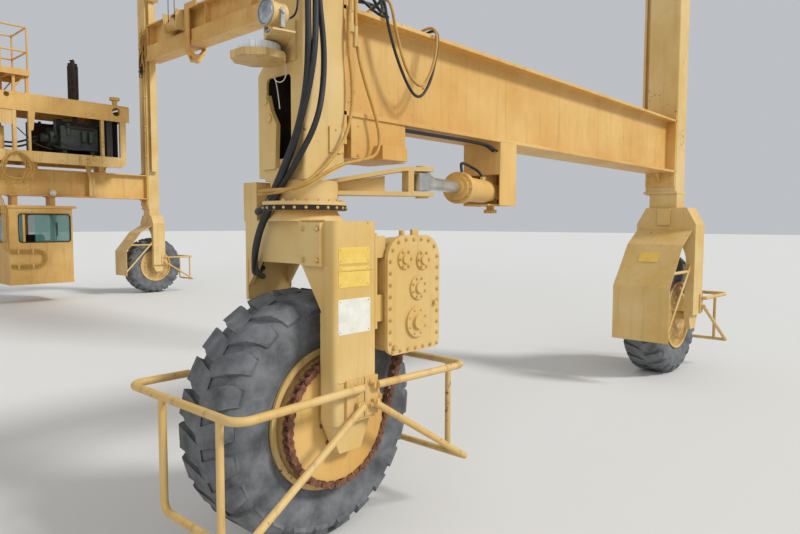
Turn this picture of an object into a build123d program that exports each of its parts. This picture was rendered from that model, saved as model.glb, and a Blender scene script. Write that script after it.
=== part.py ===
from build123d import *
from math import sin, cos, tan, radians, degrees, pi, sqrt, atan2, acos, hypot
import os

os.makedirs("parts", exist_ok=True)

# Rubber-tyred mobile gantry crane, millimetres, +Z up, ground at Z = 0.
# X is the travel direction, the driven and steered pair of wheels at -X.
# Y runs across the lane, the near frame at -Y, the engine and cab frame at +Y.

# Layout
WHEELBASE = 6000.0        # pivot to pivot along X
SPAN = 14100.0            # pivot to pivot across Y
RUN = 0.3                 # gap of faces that turn or slide on each other
FIT = 0.05                # radial play of a pin or shaft in its bore
CLEAR = 12.0              # free gap round moving pieces

# Wheels
TYRE_R = 760.0
TYRE_W = 450.0
TYRE_SIDES = 32           # flats round the tyre
BEAD_R = 415.0            # where the tyre sits on its rim
LUGS = 24                 # lugs a side
LUG_DEEP = 42.0
LUG_GAP = 74.0            # groove between lugs, round the tread
LUG_REACH = 165.0         # how far a groove runs in from the shoulder
LUG_LEAN = 62.0           # how far a groove leans forward on that way
RIM_W = 400.0             # between the rim's flanges
RIM_LIP_R = 432.0
RIM_LIP_T = 20.0
RIM_T = 14.0
DISC_T = 20.0
DISC_Y = -250.0           # outer face of the wheel's disc, from the wheel's centre
HUB_R = 105.0
HUB_L = 150.0             # hub's end from the wheel's centre
AXLE_R = 50.0
SPROCKET_R = 366.0        # tips of the wheel sprocket's teeth
SPROCKET_T = 34.0
SPROCKET_Y = -300.0       # middle of chain and sprocket
SPROCKET_RING = 60.0      # ring's width
TEETH = 30

# Legs and sills
LEG_X = 320.0
LEG_Y = 390.0
LEG_H = 6320.0            # a steered corner's leg, from its foot to the fixed top beam
LEG_NOTCH = 92.0          # how far the foot is cut up over the steering arm
LEG_R = 22.0
LEG_WALL = 16.0
GUIDE_NECK = 60.0
GUIDE_W = 160.0
GUIDE_DEEP = 95.0         # guide rail, from the leg's inboard face
GUIDE_T = 30.0
FOOT_FLANGE = 28.0
SILL_UP = 1060.0          # sill's top above the steered legs' feet
SILL_D = 656.0
SILL_W = 368.0
SILL_FL = 26.0
SILL_WEB = 18.0
END_PL = 24.0             # bolted end plates of the sills
END_DROP = 175.0          # how far an end plate reaches below its sill
RIB_T = 16.0

# Forks of the steered, driven corners
POST_X = 336.0            # along X
POST_OUT = -455.0         # outboard face, from the pivot
POST_T = 112.0
POST_UP = 25.0            # underside of the post above the axle, its pointed plate runs on
POINT_DROP = 160.0        # the plate's tip below the axle
POINT_T = 60.0
TYRE_AIR = 170.0          # between the tyre and the box above it
BOX_H = 250.0
BOX_IN = 385.0            # inboard end of the box above the tyre
BRACE_DROP = 260.0        # slope inside the corner of box and post
HANG_H = 250.0            # inboard hanger plate
HANG_T = 26.0
HOSE_BOX_IN = 250.0
NECK_R = 240.0
NECK_H = 62.0
RING_R = 255.0
RING_T = 54.0
COLLAR_R = 205.0
KING_R = 80.0
KING_DEEP = 220.0
TURN_H = 240.0            # turntable, from the box to the leg's foot
PAD_T = 32.0
STEER = 20.0              # steering either side

# Forks of the idle corners
IDLE_AIR = 260.0          # between the tyre and the fixed fork's arm
IDLE_H = 360.0
IDLE_NECK = 210.0
IDLE_IN = 285.0
IDLE_ARCH = 400.0         # height of the arch inside the corner
IDLE_SLANT = 210.0
IDLE_SLANT_W = 115.0

# Steering arm and cylinder
ARM_R = 750.0             # pivot to the clevis pin
ARM_ANG = -33.0           # arm's direction with the wheel straight
ARM_UP = 10.0             # middle of clevis, rod and barrel above the leg's foot
ARM_PL = 25.0
ARM_GAP = 130.0           # between the clevis plates
ARM_HALF = 80.0           # half the arm's width
ARM_FALL = 92.0           # upper plate's fall from clevis to pivot
BASE_PIN_X = 2000.0       # base pin of the cylinder, from the pivot
BARREL_R = 92.0
BARREL_L = 820.0
GLAND_R = 116.0
ROD_R = 42.5
PIN_R = 32.0
EYE_W = 110.0
CAP_H = 12.0

# Gearbox on the fork
GB_X0 = 245.0
GB_W = 490.0
GB_DROP = 565.0           # its underside, below the box
GB_H = 730.0
GB_OUT = -470.0           # outboard face of its cover
GB_T = 140.0
GB_COVER = 26.0
OUT_IN = 260.0            # output shaft, from the case's corner
OUT_UP = 187.0
PINION_R = 88.0

# Guards
TUBE_R = 23.0
GUARD_AIR_F = 100.0       # between the tyre and the front and rear guards
GUARD_AIR_R = 170.0
GUARD_OUT = 92.0          # its side tube, from the post's outboard face
GUARD_IN = 560.0
GUARD_UP = 225.0          # upper tubes above the axle
GUARD_LOW = 350.0
GUARD_PL = 16.0

# Lifting beams
BEAM_UP = 4110.0          # underside as parked, above the steered legs' feet
BEAM_D = 920.0
BEAM_W = 400.0
BEAM_FL = 30.0
BEAM_WEB = 28.0
RAIL_W = 370.0            # rail band above the lower flange
RAIL_H = 100.0
CHORD_W = 330.0           # lower chord
CHORD_TOP = 390.0
CHORD_WALL = 14.0
TROLLEY_OFF = 2550.0      # trolley as parked, from the leg
TROLLEY_T = 30.0
TROLLEY_W = 200.0
TROLLEY_ARM = 350.0       # its upper arms reach so far inboard
SADDLE_DROP = 365.0       # bottom of the saddle, below the beam
SADDLE_W = 180.0
EYE_R = 35.0              # eye through the saddle
EYE_FACE = 105.0          # its flat mouths, from the beam's middle
WINCH_R = 150.0
WINCH_L = 620.0
WINCH_GAP = 50.0          # between winch and parked trolley
TOPB_D = 800.0
TOPB_W = 420.0

# Engine house on the far frame
HOUSE_OFF0 = 900.0        # its ends from the legs
HOUSE_OFF1 = 830.0
FLOOR_UP = 120.0          # floor frame above the sill
FLOOR_D = 260.0
HOOD_OVER = 120.0         # hood beyond the floor frame
HOUSE_H = 1590.0
HOUSE_Y = 1200.0          # depth across the frame
HOOD_D = 420.0            # how far the hood reaches down
HOOD_T = 8.0
POST_W = 90.0             # posts of the engine frame
DECK_OFF = 200.0          # deck, from the house's end
DECK_L = 1740.0
DECK_UP = 390.0           # above the hood
DECK_T = 140.0
RAIL_UP = 1110.0
RAIL_GAP = 560.0
RAIL_R = 21.0

# Cab
CAB_X = 1410.0
CAB_AIR = 172.0           # between the cylinder's bracket and the cab
CAB_Y = 1220.0
CAB_DROP = 244.0          # roof below the sill
CAB_H = 1870.0
CAB_WALL = 40.0
CAB_SLAB = 60.0           # floor and roof
WIN_UP = 1000.0           # windows, from the cab's underside
WIN_H = 670.0
WIN_R = 60.0
GLASS_T = 6.0
CAB_OVER = 90.0           # roof's eave
DOOR_W = 600.0
HINGE_R = 12.0
HINGE_H = 100.0
HINGE_OUT = 16.0

# Engine, tank, stack
ENGINE_OFF = 720.0        # engine's end, from the hood's
ENGINE_L = 890.0
ENGINE_W = 640.0
ENGINE_H = 700.0
LAMP_R = 150.0            # tray of the work lamps
STACK_OFF = 1255.0
STACK_R = 110.0
STACK_H = 920.0
TANK_L = 1300.0
TANK_W = 620.0
TANK_H = 560.0

# Height and place of each part, from the tyres up
BOX_LOW = 2 * TYRE_R + TYRE_AIR
BOX_TOP = BOX_LOW + BOX_H
LEG_FOOT = BOX_TOP + TURN_H
LEG_TOP = LEG_FOOT + LEG_H
HANG_LOW = BOX_LOW - HANG_H
HOSE_BOX_TOP = LEG_FOOT
POST_LOW = TYRE_R + POST_UP
POINT_LOW = TYRE_R - POINT_DROP
IDLE_LOW = 2 * TYRE_R + IDLE_AIR
IDLE_TOP = IDLE_LOW + IDLE_H
IDLE_FOOT = IDLE_TOP + IDLE_NECK
ARM_Z = LEG_FOOT + ARM_UP
GB_Z0 = BOX_LOW - GB_DROP
OUT_X = GB_X0 + OUT_IN
OUT_Z = GB_Z0 + OUT_UP
GUARD_FRONT = -TYRE_R - GUARD_AIR_F
GUARD_REAR = TYRE_R + GUARD_AIR_R
GUARD_HI = TYRE_R + GUARD_UP
SILL_TOP = LEG_FOOT + SILL_UP
GUIDE_LOW = SILL_TOP + 160
BEAM_LOW = LEG_FOOT + BEAM_UP

HX = WHEELBASE / 2
HY = SPAN / 2
SILL_LOW = SILL_TOP - SILL_D
BEAM_TOP = BEAM_LOW + BEAM_D
TROLLEY_Y = HY - TROLLEY_OFF
HOUSE_X0 = -HX + HOUSE_OFF0
HOUSE_X1 = HX - HOUSE_OFF1
FLOOR_X1 = HOUSE_X1 - HOOD_OVER
FLOOR_Z0 = SILL_TOP + FLOOR_UP
FLOOR_Z1 = FLOOR_Z0 + FLOOR_D
HOUSE_TOP = FLOOR_Z0 + HOUSE_H
HOUSE_Y0 = HY - HOUSE_Y / 2
HOUSE_Y1 = HY + HOUSE_Y / 2
DECK_X0 = HOUSE_X0 + DECK_OFF
DECK_X1 = DECK_X0 + DECK_L
DECK_Z0 = HOUSE_TOP + DECK_UP
RAIL_TOP = DECK_Z0 + RAIL_UP
RAIL_MID = RAIL_TOP - RAIL_GAP
CAB_Z1 = SILL_LOW - CAB_DROP
CAB_Z0 = CAB_Z1 - CAB_H
WIN_Z0 = CAB_Z0 + WIN_UP
WIN_Z1 = WIN_Z0 + WIN_H
BRACKET_X = 108.0
CAB_MID = -HX + BASE_PIN_X + BRACKET_X + CAB_AIR + CAB_X / 2
SILL_LEN = WHEELBASE - LEG_X
POST_IN = POST_OUT + POST_T
BORE_R = AXLE_R + FIT
CHAIN_IN = SPROCKET_R + 6.0
CHAIN_T = 24.0
ARM_TOP = ARM_Z + ARM_GAP / 2 + ARM_PL

# corner: name, x, y, inboard direction along Y
DRIVEN = [("near", -HX, -HY, 1), ("far", -HX, HY, -1)]
IDLE = [("near", HX, -HY, 1), ("far", HX, HY, -1)]
SIDES = [("near", -HY, 1), ("far", HY, -1)]
ENDS = [("drive", -HX), ("idle", HX)]


def save(part, name):
    part.label = name
    export_step(part, f"parts/{name}.step")


def put(part, name, x, y, z=0.0):
    """Write a piece drawn about its corner's pivot at that corner."""
    save(part.moved(Location((x, y, z))), name)


def put_both(part, name, corners):
    """Write one node with the same piece at both corners of a pair."""
    save(Compound(children=[part.moved(Location((x, y, 0))) for where, x, y, inb in corners]), name)


def poly(*pts):
    """A face bounded by straight edges through the points."""
    Polygon(*pts, align=None)


def at_y(y):
    """Upright plane across Y, its extrusions run toward -Y."""
    return Plane.XZ.offset(-y)


def box(x0, x1, y0, y1, z0, z1, mode=Mode.ADD):
    with Locations(((x0 + x1) / 2, (y0 + y1) / 2, (z0 + z1) / 2)):
        Box(abs(x1 - x0), abs(y1 - y0), abs(z1 - z0), mode=mode)


def drum(x, y, z0, z1, r, mode=Mode.ADD):
    """Upright cylinder."""
    with Locations((x, y, (z0 + z1) / 2)):
        Cylinder(r, abs(z1 - z0), mode=mode)


def disc(y0, y1, x, z, r, mode=Mode.ADD):
    """Cylinder along Y."""
    with Locations((x, (y0 + y1) / 2, z)):
        Cylinder(r, abs(y1 - y0), rotation=(90, 0, 0), mode=mode)


def belt(cx, cz, r1, r2, step1, step2):
    """Corners of a band round a circle at 0,0 and a smaller one at cx,cz."""
    a = atan2(cz, cx)
    b = acos((r1 - r2) / hypot(cx, cz))
    pts = [(r1 * cos(a + b + i * (2 * pi - 2 * b) / step1), r1 * sin(a + b + i * (2 * pi - 2 * b) / step1))
           for i in range(step1 + 1)]
    pts += [(cx + r2 * cos(a - b + i * 2 * b / step2), cz + r2 * sin(a - b + i * 2 * b / step2))
            for i in range(step2 + 1)]
    return pts


# Tyre: flats round the axle, sloped shoulders, grooves between the lugs
# band: distance from the middle, radius
BANDS = [(TYRE_W / 2 - 22, TYRE_R), (TYRE_W / 2, TYRE_R - 150),
         (RIM_W / 2, BEAD_R)]
FLAT_K = 1 / cos(pi / TYRE_SIDES)
with BuildPart() as tyre:
    w0 = BANDS[0][0]
    with BuildSketch(at_y(-w0)):
        RegularPolygon(TYRE_R * FLAT_K, TYRE_SIDES, rotation=180 / TYRE_SIDES)
    extrude(amount=-2 * w0)
    for side in (1, -1):
        for (ya, ra), (yb, rb) in zip(BANDS, BANDS[1:]):
            with BuildSketch(at_y(side * ya)):
                RegularPolygon(ra * FLAT_K, TYRE_SIDES, rotation=180 / TYRE_SIDES)
            with BuildSketch(at_y(side * yb)):
                RegularPolygon(rb * FLAT_K, TYRE_SIDES, rotation=180 / TYRE_SIDES)
            # the last band leans inward, down to the bead
            loft(ruled=True, mode=Mode.ADD if yb > ya else Mode.SUBTRACT)
    with BuildSketch(at_y(-TYRE_W)):
        RegularPolygon(BEAD_R * FLAT_K, TYRE_SIDES, rotation=180 / TYRE_SIDES)
    extrude(amount=-2 * TYRE_W, mode=Mode.SUBTRACT)
    for side in (1, -1):
        for i in range(LUGS):
            turn = (i + (0.5 if side > 0 else 0)) * 360 / LUGS
            with BuildSketch(Plane.XY.rotated((0, turn, 0)).offset(TYRE_R - LUG_DEEP)):
                e, n = side * (TYRE_W / 2 + 5), side * (TYRE_W / 2 - LUG_REACH)
                g, f = LUG_GAP / 2, LUG_LEAN / 2
                poly((-g - f, e), (g - f, e), (g * 0.6 + f, n), (-g * 0.6 + f, n))
            extrude(amount=LUG_DEEP + 10, mode=Mode.SUBTRACT)

for where, x, y, inb in DRIVEN:
    put(tyre.part, f"tyre_drive_{where}", x, y, TYRE_R)
for where, x, y, inb in IDLE:
    put(tyre.part, f"tyre_idle_{where}", x, y, TYRE_R)


def wheel(sprocket):
    """Rim, dished disc and hub, with the toothed ring on a driven wheel."""
    with BuildPart() as w:
        with BuildSketch(Plane.YZ):
            b, f, t, l = RIM_W / 2, BEAD_R - RUN, RIM_T, RIM_LIP_T
            poly((-b - 8 - l, RIM_LIP_R), (-b - 8 - l, f - t), (DISC_Y + DISC_T + 40, f - t),
                 (DISC_Y + DISC_T, HUB_R + 150), (-HUB_L, HUB_R + 20), (-HUB_L, BORE_R), (HUB_L, BORE_R),
                 (HUB_L, HUB_R), (DISC_T - HUB_L, HUB_R), (DISC_T - HUB_L, HUB_R + 60),
                 (DISC_Y + DISC_T + 80, f - 3 * t), (b + 8 + l, f - 2 * t), (b + 8 + l, RIM_LIP_R),
                 (b + 8, RIM_LIP_R), (b + 8, f), (-b - 8, f), (-b - 8, RIM_LIP_R))
        revolve(axis=Axis.Y)
        if sprocket:
            y0 = SPROCKET_Y + SPROCKET_T / 2
            with BuildSketch(at_y(y0)):
                Circle(SPROCKET_R - 16)
                with PolarLocations(SPROCKET_R - 12, TEETH):
                    Rectangle(24, 34)
                Circle(SPROCKET_R - SPROCKET_RING, mode=Mode.SUBTRACT)
            extrude(amount=SPROCKET_T)
            with BuildSketch(at_y(DISC_Y + DISC_T + 30)):
                Circle(SPROCKET_R - 26)
                Circle(SPROCKET_R - SPROCKET_RING, mode=Mode.SUBTRACT)
            extrude(amount=DISC_Y + DISC_T + 30 - y0)
    return w.part


disc_drive = wheel(True)
disc_idle = wheel(False)
for where, x, y, inb in DRIVEN:
    put(disc_drive, f"wheel_drive_{where}", x, y, TYRE_R)
for where, x, y, inb in IDLE:
    put(disc_idle, f"wheel_idle_{where}", x, y, TYRE_R)


# Pointed plate below a post and the axle stub it carries
with BuildPart() as foot:
    h = POST_X / 2
    with BuildSketch(at_y(POST_IN)):
        poly((-h, POST_LOW + 60), (-h, POST_LOW), (-h / 2, POINT_LOW), (h / 2, POINT_LOW), (h, POST_LOW),
             (h, POST_LOW + 60))
    extrude(amount=POINT_T)
    disc(POST_IN - 5, HUB_L - 5, 0, TYRE_R, AXLE_R)


# Steered fork: box, post, hanger, turntable ring, collar and steering arm, axle stub
with BuildPart() as fork:
    h = POST_X / 2
    with BuildSketch(Plane.YZ.offset(-h)):
        poly((POST_OUT, POST_LOW), (POST_OUT, BOX_TOP), (BOX_IN, BOX_TOP), (BOX_IN, BOX_LOW),
             (-TYRE_W / 2 + 54, BOX_LOW), (POST_IN, BOX_LOW - BRACE_DROP), (POST_IN, POST_LOW))
    extrude(amount=POST_X)
    fillet(fork.edges().filter_by(Axis.Z).filter_by_position(Axis.Y, POST_OUT - 1, POST_OUT + 1), 30)
    add(foot.part)
    # hanger plate inboard of the tyre with a gusset at each side
    box(-h, h, BOX_IN - HANG_T, BOX_IN, HANG_LOW, BOX_LOW + 10)
    for x0 in (-h, h - HANG_T):
        with BuildSketch(Plane.YZ.offset(x0)):
            poly((BOX_IN - HANG_T - 130, BOX_LOW + 5), (BOX_IN - 5, BOX_LOW + 5), (BOX_IN - 5, HANG_LOW + 60))
        extrude(amount=HANG_T)
    # guard box over the hoses
    box(-h, h, HOSE_BOX_IN + CLEAR, BOX_IN + 15, BOX_TOP - 5, HOSE_BOX_TOP)
    # stop pad with a flat rib beside it
    box(-h - PAD_T, 5 - h, POST_OUT + 83, POST_OUT + 248, BOX_TOP - 254, BOX_TOP - 9)
    box(-h - 10, 5 - h, POST_OUT + 265, POST_OUT + 295, BOX_TOP - 250, BOX_TOP)
    # turntable: flared neck, bolt ring, drum under the leg
    with BuildSketch(Plane.XY.offset(BOX_TOP)):
        Circle(NECK_R)
    with BuildSketch(Plane.XY.offset(BOX_TOP + NECK_H)):
        Circle(COLLAR_R - 10)
    loft()
    drum(0, 0, BOX_TOP + NECK_H, BOX_TOP + NECK_H + RING_T, RING_R)
    drum(0, 0, BOX_TOP + NECK_H + RING_T, LEG_FOOT - RUN, COLLAR_R)
    # steering arm: falling upper plate, level lower plate, web between, clevis block
    ca, sa = cos(radians(ARM_ANG)), sin(radians(ARM_ANG))
    side = Plane(origin=(0, 0, 0), x_dir=(ca, sa, 0), z_dir=(sa, -ca, 0))
    tip = ARM_R + 58
    flat = ARM_R - 135
    zl, zh = ARM_Z - ARM_GAP / 2, ARM_Z + ARM_GAP / 2
    with BuildSketch(side.offset(-ARM_HALF)):
        poly((120, zh - ARM_FALL), (flat, zh), (tip, zh), (tip, ARM_TOP), (flat, ARM_TOP), (120, ARM_TOP - ARM_FALL))
        poly((120, zl - ARM_PL), (tip, zl - ARM_PL), (tip, zl), (120, zl))
        poly((ARM_R - 112, zl - 5), (ARM_R - 76, zl - 5), (ARM_R - 76, zh + 5), (ARM_R - 112, zh + 5))
    extrude(amount=2 * ARM_HALF)
    with BuildSketch(side.offset(-18)):
        poly((120, zl - 5), (ARM_R - 250, zl - 5), (ARM_R - 250, zh - 30), (120, zh - ARM_FALL + 5))
    extrude(amount=36)
    for z, d in ((ARM_TOP, 1), (zl - ARM_PL, -1)):
        drum(ARM_R * ca, ARM_R * sa, z, z + d * CAP_H, PIN_R + 10)
    # kingpin bore
    drum(0, 0, LEG_FOOT - KING_DEEP, LEG_FOOT + 5, KING_R + FIT, Mode.SUBTRACT)
    # cut the arm's root free of the leg's foot
    with BuildSketch(Plane.XY.offset(LEG_FOOT - RUN)):
        Rectangle(2 * KING_R + 60, 2 * KING_R + 60)
    extrude(amount=100, mode=Mode.SUBTRACT)
for where, x, y, inb in DRIVEN:
    put(fork.part, f"fork_drive_{where}", x, y)


# Fixed fork of the idle corners: slanted shoulders, arched inside corner, neck to the leg
with BuildPart() as idle_fork:
    h = POST_X / 2
    with BuildSketch(Plane.YZ.offset(-h)):
        with BuildLine():
            Polyline((POST_IN, IDLE_LOW - IDLE_ARCH), (POST_IN, POST_LOW), (POST_OUT, POST_LOW),
                     (POST_OUT, IDLE_TOP - IDLE_SLANT), (POST_OUT + IDLE_SLANT_W, IDLE_TOP),
                     (IDLE_IN - IDLE_SLANT_W, IDLE_TOP), (IDLE_IN, IDLE_TOP - IDLE_SLANT), (IDLE_IN, IDLE_LOW),
                     (POST_IN + 170, IDLE_LOW))
            ThreePointArc((POST_IN + 170, IDLE_LOW), (POST_IN + 40, IDLE_LOW - 140), (POST_IN, IDLE_LOW - IDLE_ARCH))
        make_face()
    extrude(amount=POST_X)
    add(foot.part)
    box(-h + 30, h - 30, -LEG_Y / 2 - 10, LEG_Y / 2 - 55, IDLE_TOP - 5, IDLE_FOOT - FOOT_FLANGE)
    box(-h, h, -LEG_Y / 2 - 15, LEG_Y / 2 + 15, IDLE_FOOT - FOOT_FLANGE - 2, IDLE_FOOT - RUN)
    with BuildSketch(Plane.YZ.offset(-h)):
        with Locations((-68, IDLE_TOP - 115)):
            Rectangle(160, 210)
    extrude(amount=-PAD_T)
put_both(idle_fork.part, "forks_idle", IDLE)


# Gearbox: case, bolted cover with round top and bearing caps, brackets to the post
# cap: x, z, radius, height
CAPS = [(GB_X0 + 150, GB_Z0 + 585, 62, 22), (GB_X0 + 320, GB_Z0 + 575, 62, 22), (GB_X0 + 275, GB_Z0 + 402, 75, 26),
        (OUT_X, OUT_Z, 96, 34)]
with BuildPart() as gearbox:
    # outline: inset, outboard face, thickness
    for inset, y0, t in ((0, GB_OUT, GB_COVER), (14, GB_OUT + GB_COVER - 1, GB_T - GB_COVER)):
        with BuildSketch(at_y(y0)) as cover:
            with Locations((GB_X0 + GB_W / 2, GB_Z0 + GB_H / 2)):
                Rectangle(GB_W - 2 * inset, GB_H - 2 * inset)
            fillet(cover.vertices().group_by(Axis.Y)[-1], 150)
            fillet(cover.vertices().group_by(Axis.Y)[0], 60)
        extrude(amount=-t)
    for cx, cz, r, hgt in CAPS:
        disc(GB_OUT + 1, GB_OUT - hgt * 0.45, cx, cz, r)
        disc(GB_OUT + 1, GB_OUT - hgt, cx, cz, r * 0.45)
    # output shaft and its small sprocket in the chain's plane
    disc(GB_OUT + GB_T - 5, SPROCKET_Y + 30, OUT_X, OUT_Z, 46)
    disc(SPROCKET_Y - SPROCKET_T / 2, SPROCKET_Y + SPROCKET_T / 2, OUT_X, OUT_Z, PINION_R - RUN)
    # upper bracket with its foot on the post, lower bracket
    for z0, z1 in ((GB_Z0 + 597, GB_Z0 + 727), (GB_Z0 + 215, GB_Z0 + 375)):
        box(POST_X / 2 + RUN, GB_X0 + 20, POST_OUT + 25, POST_OUT + POST_T - 12, z0, z1)
    box(POST_X / 2 + RUN, POST_X / 2 + RUN + 18, POST_OUT + 15, POST_OUT + POST_T - 5, GB_Z0 + 175, GB_Z0 + 745)
    # breather and lifting lug on top
    drum(GB_X0 + 200, GB_OUT + 70, GB_Z0 + GB_H - 20, GB_Z0 + GB_H + 28, 18)
    box(GB_X0 + 290, GB_X0 + 350, GB_OUT + 60, GB_OUT + 80, GB_Z0 + GB_H - 20, GB_Z0 + GB_H + 34)
for where, x, y, inb in DRIVEN:
    put(gearbox.part, f"gearbox_{where}", x, y)


# Chain: a loop of flat links round the wheel's ring and the gearbox's small sprocket
with BuildPart() as chain:
    with BuildSketch(at_y(SPROCKET_Y - SPROCKET_T / 2)):
        with Locations((0, TYRE_R)):
            poly(*belt(OUT_X, OUT_Z - TYRE_R, CHAIN_IN + CHAIN_T, PINION_R + CHAIN_T, 26, 8))
            Polygon(*belt(OUT_X, OUT_Z - TYRE_R, CHAIN_IN + 3, PINION_R, 26, 12), align=None, mode=Mode.SUBTRACT)
            with Locations((OUT_X, OUT_Z - TYRE_R)):
                Circle(PINION_R, mode=Mode.SUBTRACT)
    extrude(amount=-SPROCKET_T)
for where, x, y, inb in DRIVEN:
    put(chain.part, f"chain_{where}", x, y)


def rail(pts, radii, r=TUBE_R):
    """A bent tube through the points."""
    with BuildPart() as t:
        with BuildLine() as path:
            if len(pts) > 2:
                FilletPolyline(*pts, radius=radii)
            else:
                Line(*pts)
        with BuildSketch(Plane(origin=pts[0], z_dir=Vector(*pts[1]) - Vector(*pts[0]))):
            Circle(r)
        sweep(path=path.line)
    return t.part


# Wheel guards of bent tube on a bracket at the foot of the post
def guard(start, reach, plate0, plate1):
    """Side hoop, end frame and diagonal. The bracket runs along X from plate0 to plate1."""
    e = -1 if reach < 0 else 1
    ys, yo, yi, yv = POST_OUT - 45, POST_OUT - GUARD_OUT, GUARD_IN, 170.0
    hi, low = GUARD_HI, GUARD_LOW
    with BuildPart() as g:
        add(rail([(start, ys, hi), (reach, yo, hi), (reach, yi, hi), (reach - e * 380, yi, hi)], 90))
        # inner bars, a little thinner than the hoop that carries them
        add(rail([(reach, yv, hi), (reach, yv, low), (reach, yo, low)], 60, TUBE_R - 1))
        add(rail([(start - e * 20, ys, hi - 105), (reach, yo, low)], 0, TUBE_R - 2))
        add(rail([(reach, yo + 150, hi), (reach, yo + 150, low)], 0, TUBE_R - 3))
        box(plate0, plate1, POST_OUT - RUN - GUARD_PL, POST_OUT - RUN, hi - 180, hi + 50)
        for z in (hi, hi - 105):
            box(start - 24, start + 24, ys, POST_OUT - RUN - 2, z - 20, z + 20)
    return g.part


guard_front = guard(0.0, GUARD_FRONT, -90.0, 45.0)
guard_rear = guard(128.0, GUARD_REAR, 52.0, POST_X / 2 - 8)
for where, x, y, inb in DRIVEN:
    save(Compound(children=[p.moved(Location((x, y, 0))) for p in (guard_front, guard_rear)]),
         f"guard_drive_{where}")
put_both(guard_rear, "guards_idle", IDLE)

# Fender of the idle wheels: three slopes and an upright plate, held by a tube and a strip
FEND_T = 9.0
FEND_OUT = -420.0
FEND_IN = 265.0
# point of the outer face: x, z
FR = TYRE_R + 145
FENDER = [(-POST_X / 2 - RUN, TYRE_R + 1110), (-500, TYRE_R + 920), (175 - FR, TYRE_R + 630), (-FR, TYRE_R + 420),
          (-FR, TYRE_R - 240)]
with BuildPart() as fender:
    with BuildSketch(at_y(FEND_OUT)):
        inner = [(px + FEND_T * k, pz - FEND_T * m) for (px, pz), k, m in
                 zip(FENDER, (0, 0.6, 0.85, 1, 1), (1.1, 0.95, 0.65, 0.3, 0))]
        poly(*FENDER, *reversed(inner))
    extrude(amount=FEND_OUT - FEND_IN)
    add(rail([(-POST_X / 2 - RUN, FEND_OUT + 30, TYRE_R + 580), (143 - FR, FEND_OUT + 30, TYRE_R + 580)], 0, 19))
    with BuildSketch(at_y(FEND_OUT + 8)):
        poly((-POST_X / 2 - RUN, TYRE_R + 680), (-POST_X / 2 - RUN, TYRE_R + 620), (5 - FR, TYRE_R - 150),
             (5 - FR, TYRE_R - 95))
    extrude(amount=-8)
put_both(fender.part, "fenders", IDLE)


# Steering cylinders
TIP_X = ARM_R * cos(radians(ARM_ANG))
TIP_Y = ARM_R * sin(radians(ARM_ANG))
CYL_L = hypot(BASE_PIN_X - TIP_X, TIP_Y)
CYL_ANG = degrees(atan2(TIP_Y, TIP_X - BASE_PIN_X))


def cylinder_plane(x, y):
    a = radians(CYL_ANG)
    return Plane(origin=(x + BASE_PIN_X, y, ARM_Z), x_dir=(-sin(a), cos(a), 0), z_dir=(cos(a), sin(a), 0))


def along(pl, d0, d1, r, mode=Mode.ADD):
    """Round bar along the cylinder, distances from its base pin."""
    with Locations(pl.offset((d0 + d1) / 2)):
        Cylinder(r, d1 - d0, mode=mode)


for where, x, y, inb in DRIVEN:
    pl = cylinder_plane(x, y)
    with BuildPart() as barrel:
        along(pl, 95, BARREL_L, BARREL_R)
        fillet(barrel.edges().sort_by(Axis(pl.origin, pl.z_dir))[0], 26)
        along(pl, BARREL_L - 105, BARREL_L - 30, GLAND_R)
        along(pl, BARREL_L - 31, BARREL_L + 22, 62)
        drum(x + BASE_PIN_X, y, ARM_Z - 60, ARM_Z + 60, 72)
        with BuildSketch(pl.offset(30)):
            Rectangle(110, 110)
        extrude(amount=90)
        drum(x + BASE_PIN_X, y, ARM_Z - 61, ARM_Z + 61, PIN_R + FIT, Mode.SUBTRACT)
        along(pl, 140, BARREL_L + 30, ROD_R + FIT, Mode.SUBTRACT)
    save(barrel.part, f"steer_barrel_{where}")
    with BuildPart() as rod:
        along(pl, 420, CYL_L - 40, ROD_R)
        along(pl, CYL_L - 110, CYL_L - 30, 52)
        drum(x + TIP_X, y + TIP_Y, ARM_Z - EYE_W / 2, ARM_Z + EYE_W / 2, 58)
    save(rod.part, f"steer_rod_{where}")


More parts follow.
